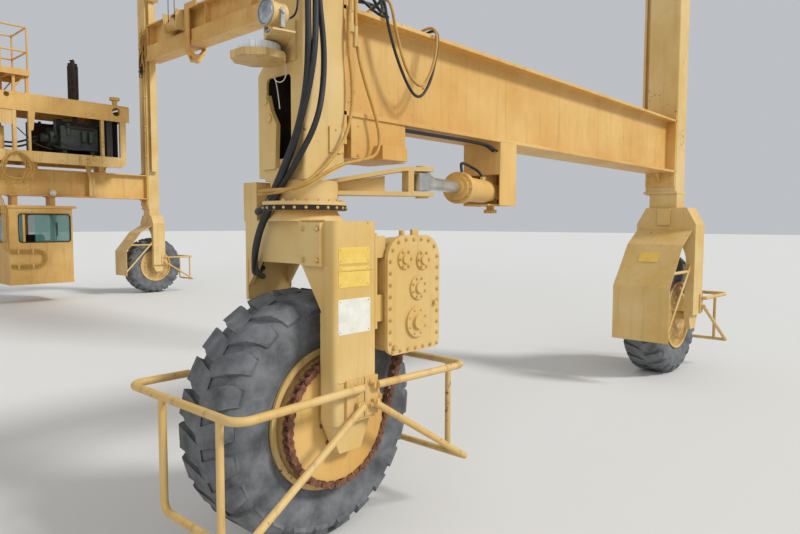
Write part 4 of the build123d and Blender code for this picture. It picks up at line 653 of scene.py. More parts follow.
def build_sills():
    bm = bmesh.new()
    for y in (DRIVEN["near"].y, DRIVEN["far"].y):
        plate(bm, y, -END_X, END_X, SILL_HALF, SILL_LOW, SILL_LOW + FLANGE)
        plate(bm, y, -END_X, END_X, SILL_HALF, SILL_TOP - FLANGE, SILL_TOP)
        for way in (-1, 1):
            plate(bm, y + way * WEB_MIDDLE, -END_X, END_X, WEB_HALF, EDGE_TOP, SILL_TOP - 0.005)
            left, right = sorted((way * END_X, way * (END_X - 0.024)))
            plate(bm, y, left, right, SILL_HALF, SILL_LOW - 0.175, SILL_TOP + 0.060)
            # gusset under each end: a cube whose lower inner corner is pulled up
            inner = way * (END_X - 0.160)
            gusset = plate(bm, y, min(inner, left), max(inner, right), 0.008, SILL_LOW - 0.145, EDGE_TOP)
            for vert in gusset:
                if abs(vert.co.x - inner) < 0.001 and vert.co.z < SILL_LOW - 0.1:
                    vert.co.z = SILL_LOW - 0.012
        # hanging box beside the driven leg and the valve block on it
        plate(bm, y, -2.770, -2.270, 0.172, HANG, EDGE_TOP)
        block(bm, (-2.570, y - 0.250, HANG + 0.002), (-2.335, y - 0.165, HANG + 0.092))
        # cylinder's base bracket: plates on three sides, a floor and the pin
        base, low = PIN_X - 3.0, BRACKET_LOW
        block(bm, (base - 0.132, y - 0.184, low), (base + 0.108, y - 0.172, EDGE_TOP))
        block(bm, (base - 0.132, y + 0.172, low), (base + 0.108, y + 0.184, EDGE_TOP))
        plate(bm, y, base + 0.088, base + 0.107, 0.173, low + 0.001, SILL_LOW + 0.004)
        plate(bm, y, base - 0.131, base + 0.089, 0.173, 2.328, SILL_LOW + 0.003)
        plate(bm, y, base - 0.190, base + 0.106, 0.110, low, low + 0.014)
        for start, end, radius in (
                (low - 0.055, SILL_LOW - 0.030, 0.032), (low - 0.060, low - 0.030, 0.054),
                (low + 0.010, ARM_Z - 0.062, 0.056), (ARM_Z + 0.062, ARM_Z + 0.150, 0.056)):
            rod(bm, (base, y, start), (base, y, end), radius, 32)
    piece = finished("sill_beams", bm, ENAMEL, "frame", "sills", bevel=0.002)
    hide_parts("sills")


build_sills()

bm = bmesh.new()
for side in SIDES:
    # painted shade: dark plates inside each driven leg's slot stand for the shade in the hollow leg
    x, y, _ = DRIVEN[side]
    low, high = LEG_FOOT + 0.135, LEG_FOOT + 0.760
    block(bm, (x + 0.136, y - 0.170, low), (x + 0.139, y + 0.170, high))
    for way in (-1, 1):
        block(bm, (x - 0.140, y + way * 0.171 - 0.001, low), (x + 0.139, y + way * 0.171 + 0.001, high))
finished("leg_slot_painted_shade", bm, SOOT_AND_SHADE, "frame", "legs_drive")

# %% [markdown]
# ## Hoses
# Hydraulic hose is black rubber over wire, so it hangs in wide even bends and never kinks. Each
# route is a few listed points drawn as one smooth line. Where a hose crosses the steering it is one
# fixed mesh, carried by neither the leg nor the fork.

# %% Hoses at the driven legs
# black rubber with an oily sheen, hose that was painted over with the leg, zinc with small dull glints
HOSE = mottled("black_hydraulic_hose", "#0E0E0F", "#242426", 25.0, 0.5, relief=0.0006)
YELLOW_HOSE = mottled("painted_over_hose", "#A97F35", "#C49A4C", 18.0, 0.6, relief=0.0008)
FITTING = mottled("dull_zinc_fitting", "#55524A", "#8A867A", 40.0, 0.45, metallic=0.8, relief=0.0004)

# thick hoses down the outer corner of the leg, in millimetres from the steering's axis
LEG_HOSES = (
    ((-195, -290, 4300), (-200, -285, 3600), (-196, -280, 3120), (-205, -300, 2780),
     (-215, -235, 2480), (-225, -110, 2240), (-235, 60, 2020), (-240, 175, 1820), (-215, 235, 1660),
     (-120, 330, 1620), (-60, 352, 1700)),
    ((-150, -300, 4300), (-155, -298, 3600), (-160, -305, 3100), (-185, -325, 2860),
     (-210, -280, 2600), (-218, -160, 2360), (-222, 10, 2120), (-232, 130, 1900), (-238, 190, 1720),
     (-170, 300, 1580), (-60, 352, 1640)),
    ((-175, -262, 4300), (-182, -262, 3500), (-178, -262, 3050), (-182, -250, 2700),
     (-192, -170, 2440), (-200, -30, 2220), (-210, 110, 2020), (-205, 230, 1980), (-120, 300, 2020)),
    ((-112, -262, 4300), (-110, -262, 3600), (-105, -262, 3200), (-70, -268, 2950),
     (-80, -275, 2720), (-140, -290, 2500), (-205, -210, 2300), (-226, -50, 2120),
     (-236, 110, 1920), (-232, 190, 1760), (-170, 290, 1620), (-60, 352, 1580)),
)
# thin painted hoses that loop in front of the leg on the post's side and round the collar
THIN_HOSES = (
    ((178, -228, 3600), (176, -230, 3260), (150, -226, 3000), (190, -226, 2800), (180, -235, 2600),
     (105, -250, 2420), (-40, -265, 2270), (-175, -250, 2165), (-245, -140, 2110), (-262, 0, 2100),
     (-200, 190, 2100)),
    ((215, -226, 3600), (212, -230, 3200), (225, -228, 2980), (290, -228, 2800), (385, -232, 2600),
     (420, -240, 2450), (360, -262, 2345), (200, -292, 2305), (40, -298, 2275), (-110, -285, 2200),
     (-215, -205, 2118), (-280, 0, 2118), (-268, 90, 2114)),
)
for side in SIDES:
    corner = STEER_AXIS[side]
    # at the far leg they come down on the outboard side too, clear of the guide rail
    out = 1 if side == "near" else -1
    for number, route in enumerate(LEG_HOSES):
        places = routed(corner, [(px, py if out > 0 else abs(py), pz) for px, py, pz in route])
        tube(f"leg_hose_{side}_{number}", places, 0.0175, HOSE, "frame", f"steered_fork_{side}",
             (at(corner, 0, 0, 2.60), at(corner, 0, 0, 2.02)))
    for number, route in enumerate(THIN_HOSES):
        places = routed(corner, route)
        tube(f"thin_hose_{side}_{number}", places, 0.0105, YELLOW_HOSE, "frame")
    # two clamps that hold the bundle on the leg
    bm = bmesh.new()
    for z in (3.72, 3.30):
        for x0, x1, y0, y1, lift, top in ((-0.222, -0.130, -0.318, -0.244, 0, 0.035),
                                          (-0.180, -0.120, -0.250, -0.194, 0.004, 0.030)):
            y0, y1 = sorted((out * y0, out * y1))
            block(bm, at(corner, x0, y0, z + lift), at(corner, x1, y1, z + top))
        bolt(bm, at(corner, -0.176, -0.318 * out, z + 0.018), (0, -out, 0), 0.009)
    finished(f"hose_clamps_{side}", bm, ENAMEL_WORN, "frame", "legs_drive", bevel=0.003)

# %% [markdown]
# ## Hoses on the sills
# Supply hoses leave the sill's top in loops, one pair drapes over the face on the post's side, and
# two pipes run along the bottom to the bracket of the steering cylinder.

# %% Hoses on the sills
SILL_HOSES = (
    ((420, -140, 3262), (460, -200, 3330), (483, -212, 3340), (511, -215, 3193), (596, -218, 2989),
     (725, -222, 2800), (827, -222, 2770), (933, -218, 2890), (996, -215, 3065), (1040, -208, 3255),
     (1060, -120, 3300), (1050, -20, 3262)),
    ((440, -80, 3262), (495, -190, 3360), (520, -236, 3330), (560, -238, 3170), (650, -240, 2940),
     (765, -242, 2845), (850, -242, 2860), (940, -238, 3000), (985, -236, 3150), (1010, -210, 3275),
     (1020, -110, 3310), (1010, 10, 3262)),
    ((300, -90, 3400), (360, -120, 3440), (430, -150, 3370), (500, -150, 3290), (570, -120, 3300),
     (600, -60, 3420), (560, 0, 3480), (440, 20, 3430), (330, 30, 3400)),
    ((300, -30, 3360), (400, -60, 3380), (520, -100, 3290), (640, -100, 3285), (700, -30, 3330),
     (660, 60, 3420), (480, 80, 3400), (330, 60, 3360)),
)
for side in SIDES:
    corner = STEER_AXIS[side]
    for number, route in enumerate(SILL_HOSES):
        look_of = YELLOW_HOSE if number == 1 else HOSE
        tube(f"sill_hose_{side}_{number}", routed(corner, route), 0.0100, look_of, "frame")
    # junction block on the sill where those hoses meet
    bm = bmesh.new()
    block(bm, at(corner, 0.190, -0.150, SILL_TOP - 0.001), at(corner, 0.315, 0.110, SILL_TOP + 0.205))
    for place in ((0.420, -0.140), (0.440, -0.080), (1.050, -0.020), (1.010, 0.010)):
        rod(bm, at(corner, *place, SILL_TOP - 0.002), at(corner, *place, SILL_TOP + 0.030), 0.019, 6)
    for place in ((-0.090, 3.400), (0.030, 3.400), (-0.030, 3.360), (0.060, 3.360)):
        rod(bm, at(corner, 0.310, *place), at(corner, 0.335, *place), 0.018, 6)
    finished(f"junction_block_{side}", bm, ENAMEL_WORN, "frame", "sills", bevel=0.004)
    # pipes to the cylinder: along under the sill's edge, down at the bracket
    for number, dy in enumerate((-150, -115)):
        route = [(250, dy, 2560), (600, dy, 2560), (1250, dy, 2560), (1600, dy, 2560), (1760, dy, 2552),
                 (1830, dy, 2525), (1872, dy, 2515)]
        tube(f"cylinder_pipe_{side}_{number}", routed(corner, route), 0.0095, HOSE, "frame")

# %% [markdown]
# ## Steering cylinder's fittings
# A welded port at each end of the barrel, a hose between them and the nuts of the gland make the
# barrel read as hydraulic. They are built along the barrel's own axis.

# %% Steering cylinder's fittings
for side in SIDES:
    x, y, _ = DRIVEN[side]
    pin = Vector((x + PIN_X, y, ARM_Z))
    tip = Vector((x + ARM_LENGTH * cos(ARM_TURN), y + ARM_LENGTH * sin(ARM_TURN), ARM_Z))
    ahead = (tip - pin).normalized()
    beside = ahead.cross(ALONG_Z)
    bm = bmesh.new()
    for turn in turns(10):
        out = beside * cos(turn) + ALONG_Z * sin(turn)
        bolt(bm, pin + ahead * 0.790 + out * 0.098, ahead, 0.0090)
    for reach in (0.200, 0.690):
        port = pin + ahead * reach
        bar(bm, port, ALONG_Z, 0.085, 0.118, 0.024, 6)
    finished(f"barrel_fittings_{side}", bm, ENAMEL_WORN, f"barrel_{side}", f"steer_barrel_{side}")
    route = [pin + ahead * a + Vector((0, 0, z)) + beside * b for a, b, z in (
        (0.690, 0.000, 0.110), (0.690, 0.010, 0.165), (0.600, 0.040, 0.200), (0.420, 0.060, 0.200),
        (0.290, 0.055, 0.185), (0.205, 0.030, 0.160), (0.200, 0.000, 0.112))]
    tube(f"barrel_hose_{side}", route, 0.0110, HOSE, f"barrel_{side}")

# %% [markdown]
# ## Hoist ropes
# Each winch lets two falls of wire rope up to sheaves beside the top beam. A rope is one straight
# mesh between the lifting beam's drum and the frame's sheave, fixed where it is made.

# %% Hoist ropes
# grease keeps the strands dark, with small glints where they rub
ROPE = mottled("greased_wire_rope", "#1E1B17", "#4A443B", 60.0, 0.6, metallic=0.4, relief=0.001)
SHEAVE_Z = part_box("legs_drive")[1][2] + 0.130
DRUM_Z, ROPE_X, FALLS = 6.930, -0.382, (4.82, 5.12)
for end, x in (("drive", DRIVEN["near"].x), ("idle", IDLE["near"].x)):
    bm = bmesh.new()
    for way in (-1, 1):
        for number, off in enumerate(FALLS):
            drum, head = (Vector((x + ROPE_X, way * off, z)) for z in (DRUM_Z, SHEAVE_Z))
            rope = bmesh.new()
            bmesh.ops.create_cone(rope, cap_ends=True, segments=10, radius1=0.009, radius2=0.009, depth=1.0)
            along = [e for e in rope.edges if abs(e.verts[0].co.z - e.verts[1].co.z) > 0.5]
            bmesh.ops.subdivide_edges(rope, edges=along, cuts=12, use_grid_fill=True)
            for vert in rope.verts:
                vert.co = (drum + head) / 2 + Vector((vert.co.x, vert.co.y, vert.co.z * (head - drum).length))
            bmesh.ops.recalc_face_normals(rope, faces=rope.faces)
            mesh = bpy.data.meshes.new("rope")
            rope.to_mesh(mesh)
            rope.free()
            mesh.materials.append(ROPE)
            mesh.shade_smooth()
            piece = link_object(f"rope_{end}_{'near' if way < 0 else 'far'}_{number}", mesh)
            at(drum, 0, 0, 0.02)
            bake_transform(piece)
            # sheave with its cheeks on the side of the top beam
            axle = at(head, 0.110, 0, 0)
            bar(bm, axle, ALONG_Y, -0.022, 0.022, 0.112, 40)
            for cheek in (-0.034, 0.026):
                block(bm, at(axle, -0.135, cheek, -0.135), at(axle, 0.135, cheek + 0.008, 0.165))
            bar(bm, axle, ALONG_Y, -0.048, 0.048, 0.030, 20)
    finished(f"sheaves_{end}", bm, ENAMEL_WORN, "frame", "top_beams", bevel=0.004)
print("ropes up to", round(SHEAVE_Z, 2), "m")

# %% [markdown]
# ## Signs
# The driven post carries warning plates. They are left bare: two yellow sheets and a white one
# below them, with rounded corners and small rivets.

# %% Signs
# printed sheet: smooth, even and a little glossier than the post behind it
SIGN_YELLOW = mottled("blank_yellow_sign", "#D9B24A", "#E8C766", 14.0, 0.45, relief=0.0003)
SIGN_WHITE = mottled("blank_white_sign", "#CFCCBE", "#E6E3D6", 12.0, 0.45, relief=0.0003)
RIVET_INSET = 0.014


def sheet(low, high, normal):
    """A thin sheet between two corners, with its four corners rounded."""
    bm = bmesh.new()
    block(bm, low, high)
    short = [e for e in bm.edges if abs((e.verts[0].co - e.verts[1].co).normalized().dot(normal)) > 0.9]
    bmesh.ops.bevel(bm, geom=short, offset=0.012, segments=4, profile=0.5, affect="EDGES", material=-1)
    return bm


for side in SIDES:
    x, y = DRIVEN[side].x, DRIVEN[side].y + POST_OUT
    for name, left, right, low, high, material in (
            ("post_sign_upper", -0.135, 0.105, 1.700, 1.792, SIGN_YELLOW),
            ("post_sign_middle", -0.135, 0.105, 1.566, 1.684, SIGN_YELLOW),
            ("post_sign_white", -0.140, 0.112, 1.300, 1.500, SIGN_WHITE)):
        bm = sheet((x + left, y - 0.0018, low), (x + right, y - 0.0003, high), ALONG_Y)
        finished(f"{name}_{side}", bm, material, *FORK[side])
        bm = bmesh.new()
        for rx in (left + RIVET_INSET, right - RIVET_INSET):
            for rz in (low + RIVET_INSET, high - RIVET_INSET):
                rod(bm, (x + rx, y, rz), (x + rx, y - 0.0040, rz), 0.0042, 10, 0.0020)
        finished(f"{name}_rivets_{side}", bm, FITTING, *FORK[side])

# %% [markdown]
# ## Lamps
# A floodlight is a drum whose silvered front stands in a ring. The lamp in the tray below it is a
# ribbed glass drum that stands on a gasket. A small white bulkhead lamp sits on the far sill.

# %% Lamps
# pale glass with sharp highlights, a bowl that mirrors the sky, grey metal with a blurred shine
LENS = material_of("moulded_lamp_lens", "#DCE3E4", Roughness=0.12, Coat_Weight=0.6)
BOWL = mottled("silvered_lamp_bowl", "#7C8083", "#C9CED0", 14.0, 0.14, metallic=0.85, relief=0.0004)
TRAY_LENS_R, FLOOD_R = 0.1195, 0.068
LAMP_BODY = mottled("weathered_aluminium_lamp", "#8E8E8A", "#B9B8B2", 22.0, 0.5, metallic=0.5, relief=0.0005)
for side in SIDES:
    corner = STEER_AXIS[side]
    shade = at(corner, -0.4105, -0.200, 3.050)
    bm = bmesh.new()
    bmesh.ops.create_uvsphere(bm, u_segments=32, v_segments=16, radius=0.064)
    for vert in bm.verts:
        vert.co = at(shade, -0.006 + min(vert.co.x * 0.28, 0.006), vert.co.y, vert.co.z)
    finished(f"flood_lens_{side}", bm, BOWL, "frame", "work_lamps")
    ring = [at(shade, -0.012, FLOOD_R * cos(pi * k / 8), FLOOD_R * sin(pi * k / 8)) for k in range(17)]
    tube(f"flood_ring_{side}", ring, 0.0042, LAMP_BODY, "frame")
    bm = bmesh.new()
    # yoke with its wing bolts, cable gland at the back
    for dy in (-0.078, 0.072):
        block(bm, at(shade, 0.035, dy, -0.075), at(shade, 0.060, dy + 0.006, 0.020))
        rod(bm, at(shade, 0.048, dy - 0.006, 0), at(shade, 0.048, dy + 0.012, 0), 0.011, 10)
    block(bm, at(shade, 0.035, -0.078, -0.081), at(shade, 0.060, 0.078, -0.074))
    bar(bm, shade, ALONG_X, 0.094, 0.135, 0.040, 20, 0.018)
    finished(f"flood_body_{side}", bm, LAMP_BODY, "frame", "work_lamps")
    # ribbed glass drum on the tray, its gasket, and the thin wire that hangs from the stem
    tray = at(corner, -0.3100, 0.020, 2.890)
    bm = bmesh.new()
    bar(bm, tray, ALONG_Z, 0.004, 0.050, TRAY_LENS_R + 0.002, 48, TRAY_LENS_R)
    for turn in turns(24):
        rib = at(tray, TRAY_LENS_R * cos(turn), TRAY_LENS_R * sin(turn), 0)
        bar(bm, rib, ALONG_Z, 0.004, 0.048, 0.0040, 8)
    finished(f"tray_lens_{side}", bm, LENS, "frame", "work_lamps", bevel=0.003)
    bm = bmesh.new()
    bar(bm, tray, ALONG_Z, -0.0005, 0.006, 0.1260, 48)
    finished(f"tray_gasket_{side}", bm, HOSE, "frame", "work_lamps")
    tube(f"tray_wire_{side}", routed(corner, (
        (-200, -20, 2930), (-190, -60, 2860), (-182, -70, 2780), (-200, -50, 2735), (-215, 0, 2750),
        (-205, 30, 2800), (-185, 30, 2760), (-172, 25, 2680), (-166, 20, 2600))),
         0.0030, SIGN_WHITE, "frame")
    tube(f"lamp_cable_{side}", routed(corner, (
        (-272, -200, 3050), (-240, -200, 3060), (-200, -190, 3110), (-172, -165, 3200),
        (-168, -165, 3400), (-168, -165, 3700))), 0.006, HOSE, "frame")
bm = bmesh.new()
lamp = Vector((0.400, DRIVEN["far"].y - SILL_HALF + 0.040, 2.660))
bar(bm, lamp, ALONG_Y, 0, -0.090, 0.075, 32)
bar(bm, lamp, ALONG_Y, -0.088, -0.120, 0.062, 32, 0.040)
finished("bulkhead_lamp", bm, SIGN_WHITE, "frame", "sills", bevel=0.004)

# %% [markdown]
# ## Engine bay
# The engine stays one block in CAD. What shows through the open bays is pipework: an exhaust that
# climbs to the stack, intake and filter pipes, a radiator core of upright fins and a fan. A tank along
# the back, coloured soot black as painted shade, and a grille at the end keep the bay as dark as it
# is on the real machine.

# %% Engine bay
# dusty black fins: dark and nearly matt
BARE_CORE = mottled("dusty_radiator_core", "#2A2A28", "#4B4A45", 30.0, 0.7, metallic=0.3, relief=0.0006)
engine_low, engine_high = (Vector(c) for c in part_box("engine_block"))
stack = middle("exhaust_stack")
radiator_low, radiator_high = (Vector(c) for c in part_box("radiator"))
ENGINE_RIGHT = radiator_low.x - 0.180
ENGINE_LEFT = ENGINE_RIGHT - 0.890

bm = bmesh.new()
# exhaust manifold: three stubs into one log, which turns up to the stack
for step in range(3):
    x = ENGINE_LEFT + 0.20 + 0.24 * step
    rod(bm, (x, stack.y + 0.06, 4.26), (x, stack.y - 0.06, 4.30), 0.038, 16)
rod(bm, (ENGINE_LEFT + 0.12, stack.y - 0.07, 4.30), (ENGINE_RIGHT - 0.10, stack.y - 0.07, 4.30), 0.052, 20)
finished("exhaust_manifold", bm, SOOT_AND_SHADE, "frame", "exhaust_stack")
rise = [(stack.x, stack.y - back, z) for back, z in (
    (0.07, 4.30), (0.07, 4.50), (0.02, 4.62), (0, 4.75), (0, 4.945))]
tube("exhaust_pipe", rise, 0.050, SOOT_AND_SHADE, "frame")

bm = bmesh.new()
# radiator fins seen from both sides, in steps of 15 mm
fin_count = int((radiator_high.y - radiator_low.y - 0.14) / 0.015)
for step in range(fin_count):
    y = radiator_low.y + 0.07 + 0.015 * step
    block(bm, (radiator_high.x - 0.052, y, 3.785), (radiator_high.x - 0.012, y + 0.0025, 4.645))
for step in range(12):
    z = 3.82 + 0.07 * step
    block(bm, (radiator_high.x - 0.034, radiator_low.y + 0.065, z),
          (radiator_high.x - 0.030, radiator_high.y - 0.065, z + 0.012))
finished("radiator_core", bm, BARE_CORE, "frame", "radiator")

bm = bmesh.new()
# fuel tank along the back of the bay, with its straps and filler; its soot black is painted shade for the
# bay's dark inside
tank_low = Vector((ENGINE_LEFT - 0.500, engine_high.y + 0.030, engine_low.z + 0.010))
tank_high = Vector((ENGINE_RIGHT + 0.080, 7.545, engine_low.z + 0.800))
block(bm, tank_low, tank_high)
for step in range(4):
    x = tank_low.x + 0.15 + 0.40 * step
    block(bm, (x, tank_low.y - 0.004, tank_low.z), (x + 0.040, tank_high.y + 0.004, tank_high.z + 0.004))
filler = Vector((tank_low.x + 0.30, tank_high.y - 0.06, tank_high.z))
bar(bm, filler, ALONG_Z, 0, 0.05, 0.035)
finished("fuel_tank", bm, SOOT_AND_SHADE, "frame", "engine_block", bevel=0.006)
bm = bmesh.new()
# air grille behind the radiator, a sheet with level slats on its outside
grille_x = 1.905
block(bm, (grille_x, 6.560, engine_low.z + 0.010), (grille_x + 0.004, 7.540, 4.620))
for step in range(16):
    z = engine_low.z + 0.04 + 0.056 * step
    block(bm, (grille_x + 0.003, 6.580, z), (grille_x + 0.018, 7.520, z + 0.008))
finished("air_grille", bm, BARE_CORE, "frame", "radiator")

bm = bmesh.new()
# fan with eight pitched blades between the engine and the radiator
hub = Vector((ENGINE_RIGHT + 0.145, (engine_low.y + engine_high.y) / 2 + 0.03, 4.10))
bar(bm, hub, ALONG_X, -0.022, 0.020, 0.070, 24)
for turn in turns(8):
    spread = Matrix.Rotation(turn, 4, "X") @ Matrix.Rotation(radians(28), 4, "Z")
    for vert in bmesh.ops.create_cube(bm, size=1)["verts"]:
        vert.co = hub + spread @ Vector((vert.co.x * 0.006, vert.co.y * 0.110, 0.190 + vert.co.z * 0.240))
finished("fan", bm, BARE_CORE, "frame", "engine_block")

# pipes and cables: radius, then the route in millimetres
ENGINE_PIPES = (
    (0.034, ((420, 6680, 4020), (420, 6600, 4020), (400, 6550, 4100), (380, 6550, 4280),
         (420, 6620, 4420), (600, 6720, 4440))),
    (0.016, ((1100, 6620, 3960), (1100, 6520, 3940), (1020, 6500, 3860), (800, 6500, 3800),
         (600, 6530, 3820), (520, 6620, 3900))),
    (0.014, ((1260, 6620, 3960), (1260, 6500, 3920), (1200, 6490, 3780), (920, 6480, 3720),
         (560, 6500, 3740), (360, 6600, 3800))),
    (0.030, ((1380, 6800, 4300), (1460, 6740, 4420), (1560, 6720, 4460), (1640, 6720, 4440))),
    (0.024, ((120, 6920, 4020), (-20, 6800, 3980), (-260, 6720, 3860), (-500, 6740, 3800),
         (-660, 6800, 3820))),
    (0.024, ((120, 6980, 3960), (-60, 6900, 3840), (-300, 6840, 3740), (-520, 6860, 3720),
         (-660, 6920, 3740))),
    (0.012, ((-620, 6620, 4300), (-500, 6520, 4200), (-200, 6500, 3900), (0, 6520, 3760),
         (300, 6520, 3700))),
    (0.010, ((600, 6620, 4480), (720, 6560, 4500), (920, 6540, 4460), (1100, 6560, 4400),
         (1300, 6620, 4340))),
)
for number, (radius, route) in enumerate(ENGINE_PIPES):
    tube(f"engine_pipe_{number}", routed(Vector(), route), radius, HOSE, "frame")

# spare supply hose coiled on a hook at the edge of the house's floor
random.seed(9)
hook = Vector((-0.500, 6.412, 3.560))
for number in range(7):
    wide, deep = random.uniform(0.20, 0.36), random.uniform(0.62, 0.92)
    lean = random.uniform(-0.06, 0.06)
    loop = []
    for step in range(21):
        turn = 2 * pi * step / 20
        x = wide * sin(turn) * (1 - 0.25 * cos(turn)) + lean * (1 - cos(turn))
        loop.append(at(hook, x, -0.012 * (number % 4) + 0.010 * sin(turn), 0.02 - deep * (1 - cos(turn)) / 2))
    tube(f"hose_coil_{number}", loop, 0.0105, YELLOW_HOSE, "frame")
bm = bmesh.new()
rod(bm, at(hook, 0, 0.060, 0.010), at(hook, 0, -0.075, 0.010), 0.013, 12)
rod(bm, at(hook, 0, -0.072, 0.004), at(hook, 0, -0.072, 0.050), 0.013, 12)
finished("coil_hook", bm, ENAMEL_WORN, "frame", "engine_frame")

# %% [markdown]
# ## Conduits and small plates
# Painted conduits climb the far idle leg in clamps and end in a nest of cable beside the lifting
# beam. Each driven leg carries a small cover, its thin hoses have hexagon couplings, and the
# fenders of the idle wheels have one bare sign each.

# %% Conduits and small plates
leg_x, leg_y = IDLE["far"].x - LEG_X, IDLE["far"].y


def conduit(number):
    """Place across the leg and height of the top of one of the three conduits."""
    return leg_y - 0.150 + 0.050 * number, 6.250 + 0.20 * number


bm = bmesh.new()
for number in range(3):
    y, top = conduit(number)
    rod(bm, (leg_x - 0.018, y, 3.300), (leg_x - 0.018, y, top), 0.0150, 14)
for z in (3.75, 4.55, 5.35, 6.10):
    block(bm, (leg_x - 0.042, leg_y - 0.190, z), (leg_x + 0.001, leg_y - 0.010, z + 0.030))
finished("leg_conduits", bm, ENAMEL_WORN, "frame", "legs_idle", bevel=0.002)
for number in range(14):
    y, top = conduit(number % 3)
    route = [Vector((leg_x - 0.018, y, top))]
    for step in range(5):
        route.append(Vector((leg_x - random.uniform(0.01, 0.13), leg_y - random.uniform(0.00, 0.29),
                             top + random.uniform(-0.45, 0.50))))
    route.append(Vector((leg_x - 0.004, leg_y - random.uniform(0.0, 0.16), top + random.uniform(0.2, 0.6))))
    look_of = YELLOW_HOSE if number % 3 else HOSE
    tube(f"cable_nest_{number}", route, 0.0105, look_of, "frame")

for side in SIDES:
    x, y, _ = DRIVEN[side]
    bm = bmesh.new()
    block(bm, (x + 0.024, y - LEG_Y - 0.012, 2.345), (x + 0.119, y - LEG_Y + 0.002, 2.500))
    for dz in (0.018, 0.137):
        bolt(bm, (x + 0.072, y - LEG_Y - 0.012, 2.345 + dz), (0, -1, 0), 0.0055)
    finished(f"leg_cover_{side}", bm, ENAMEL_PALE, "frame", "legs_drive", bevel=0.002)
    bm = bmesh.new()
    for hx, hy, low, high, size, sides in (
            (0.1770, -0.2295, 3.070, 3.120, 0.0190, 6), (0.1770, -0.2295, 3.120, 3.185, 0.0155, 16),
            (0.2155, -0.2295, 2.990, 3.040, 0.0190, 6), (0.2130, -0.2300, 3.040, 3.110, 0.0155, 16)):
        rod(bm, (x + hx, y + hy, low), (x + hx, y + hy, high), size, sides)
    finished(f"hose_couplings_{side}", bm, ENAMEL_WORN, "frame", "legs_drive")

    # bare sign on the fender's slope, set along it and out of it
    along, outward = Vector((-0.630, 0, -0.777)), Vector((-0.777, 0, 0.630))
    centre = Vector((IDLE[side].x - 0.626, IDLE[side].y - 0.060, 1.525)) + outward * 0.0012
    bm = sheet((-0.075, -0.120, -0.0009), (0.075, 0.120, 0.0009), ALONG_Z)
    for vert in bm.verts:
        vert.co = centre + along * vert.co.x + Vector((0, vert.co.y, 0)) + outward * vert.co.z
    finished(f"fender_sign_{side}", bm, SIGN_YELLOW, "frame", "fenders")

# %% [markdown]
# ## Cab fittings
# Each pane is held by a black rubber seal, one closed round tube along the edge of the opening.
# The same ring serves every window: a rounded rectangle that lies on the wall's outer face.

# %% Cab fittings
# matt black rubber, darker than any paint here, so it outlines each pane
SEAL = mottled("black_rubber_seal", "#0C0C0C", "#1C1C1B", 30.0, 0.7, relief=0.0004)
wall_low, wall_high = (Vector(c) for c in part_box("cab_walls"))
cab_left, cab_right = wall_low.x, wall_high.x
cab_near = wall_low.y
cab_far = cab_near + 1.220
WIN_MID, WIN_HALF = 1.805, 0.335            # height of a window's middle, half its height


def seal(name, centre, half, across, out, body="frame", corner=0.060):
    """A rubber ring round a window: half sizes along across and Z, on the face that looks out."""
    loop = []
    for sx, sz, start in ((1, 1, 0), (-1, 1, 90), (-1, -1, 180), (1, -1, 270)):
        for step in range(4):
            turn = radians(start + 30 * step)
            a = sx * (half[0] - corner) + corner * cos(turn)
            b = sz * (half[1] - corner) + corner * sin(turn)
            loop.append(Vector(centre) + across * a + ALONG_Z * b + out * 0.001)
    tube(name, loop + [loop[0]], 0.0115, SEAL, body)


near_left, near_right = cab_left + 0.210, cab_right - 0.060
door_left, door_right = cab_left + 0.090, cab_left + 0.690
rear_left, rear_right = door_right + 0.090, cab_right - 0.090
cab_middle = (cab_near + cab_far) / 2
for name, left, right, y, out in (("seal_lane", near_left, near_right, cab_near, -ALONG_Y),
                                  ("seal_rear", rear_left, rear_right, cab_far, ALONG_Y)):
    seal(name, ((left + right) / 2, y, WIN_MID), ((right - left) / 2, WIN_HALF), ALONG_X, out)
for name, x, out in (("seal_left", cab_left, -ALONG_X), ("seal_right", cab_right, ALONG_X)):
    seal(name, (x, cab_middle, WIN_MID), (0.480, WIN_HALF), ALONG_Y, out)
seal("seal_door", ((door_left + door_right) / 2, cab_far, WIN_MID), (0.230, 0.305), ALONG_X, ALONG_Y, "door")

bm = bmesh.new()
# drip rail over the lane window, a lock plate beside the door and two ribs on the lane face
block(bm, (near_left - 0.03, cab_near - 0.018, 2.172), (near_right + 0.03, cab_near + 0.002, 2.184))
block(bm, (door_right + 0.020, cab_far - 0.002, 1.290), (door_right + 0.075, cab_far + 0.016, 1.400))
for z in (1.250, 0.640):
    block(bm, (cab_left + 0.015, cab_near - 0.004, z), (cab_right - 0.015, cab_near + 0.001, z + 0.030))
finished("cab_trim", bm, ENAMEL_WORN, "frame", "cab_walls", bevel=0.0015)

# three supply hoses come down beside the cab, turn along its lane face and fold back; in
# millimetres, with how far each next hose lies off along X and Z
CAB_HOSE = (
    (-900, 6600, 2570, 1, 0), (-860, 6450, 2470, 1, 0), (-850, 6405, 2200, 1, 0), (-850, 6405, 1500, 1, 0),
    (-845, 6400, 1320, 1, -1), (-700, 6405, 1290, 1, -1), (-300, 6405, 1292, 0, -1), (-20, 6405, 1280, 0, -1),
    (70, 6405, 1160, -1, 0), (62, 6405, 1000, -1, 0), (-60, 6405, 872, 0, 1), (-300, 6405, 862, 0, 1),
    (-640, 6405, 870, 0, 1), (-680, 6425, 880, 0, 1), (-690, 6450, 890, 0, 1))
for number in range(3):
    off = 34 * number
    route = [(x + off * dx, y, z + off * dz) for x, y, z, dx, dz in CAB_HOSE]
    tube(f"cab_hose_{number}", routed(Vector(), route), 0.0120, YELLOW_HOSE, "frame")
bm = bmesh.new()
for x in (-0.560, -0.250):
    for z in (1.215, 0.850):
        block(bm, (x, cab_near - 0.050, z), (x + 0.030, cab_near + 0.001, z + 0.110))
finished("cab_hose_clips", bm, ENAMEL_WORN, "frame", "cab_walls", bevel=0.002)

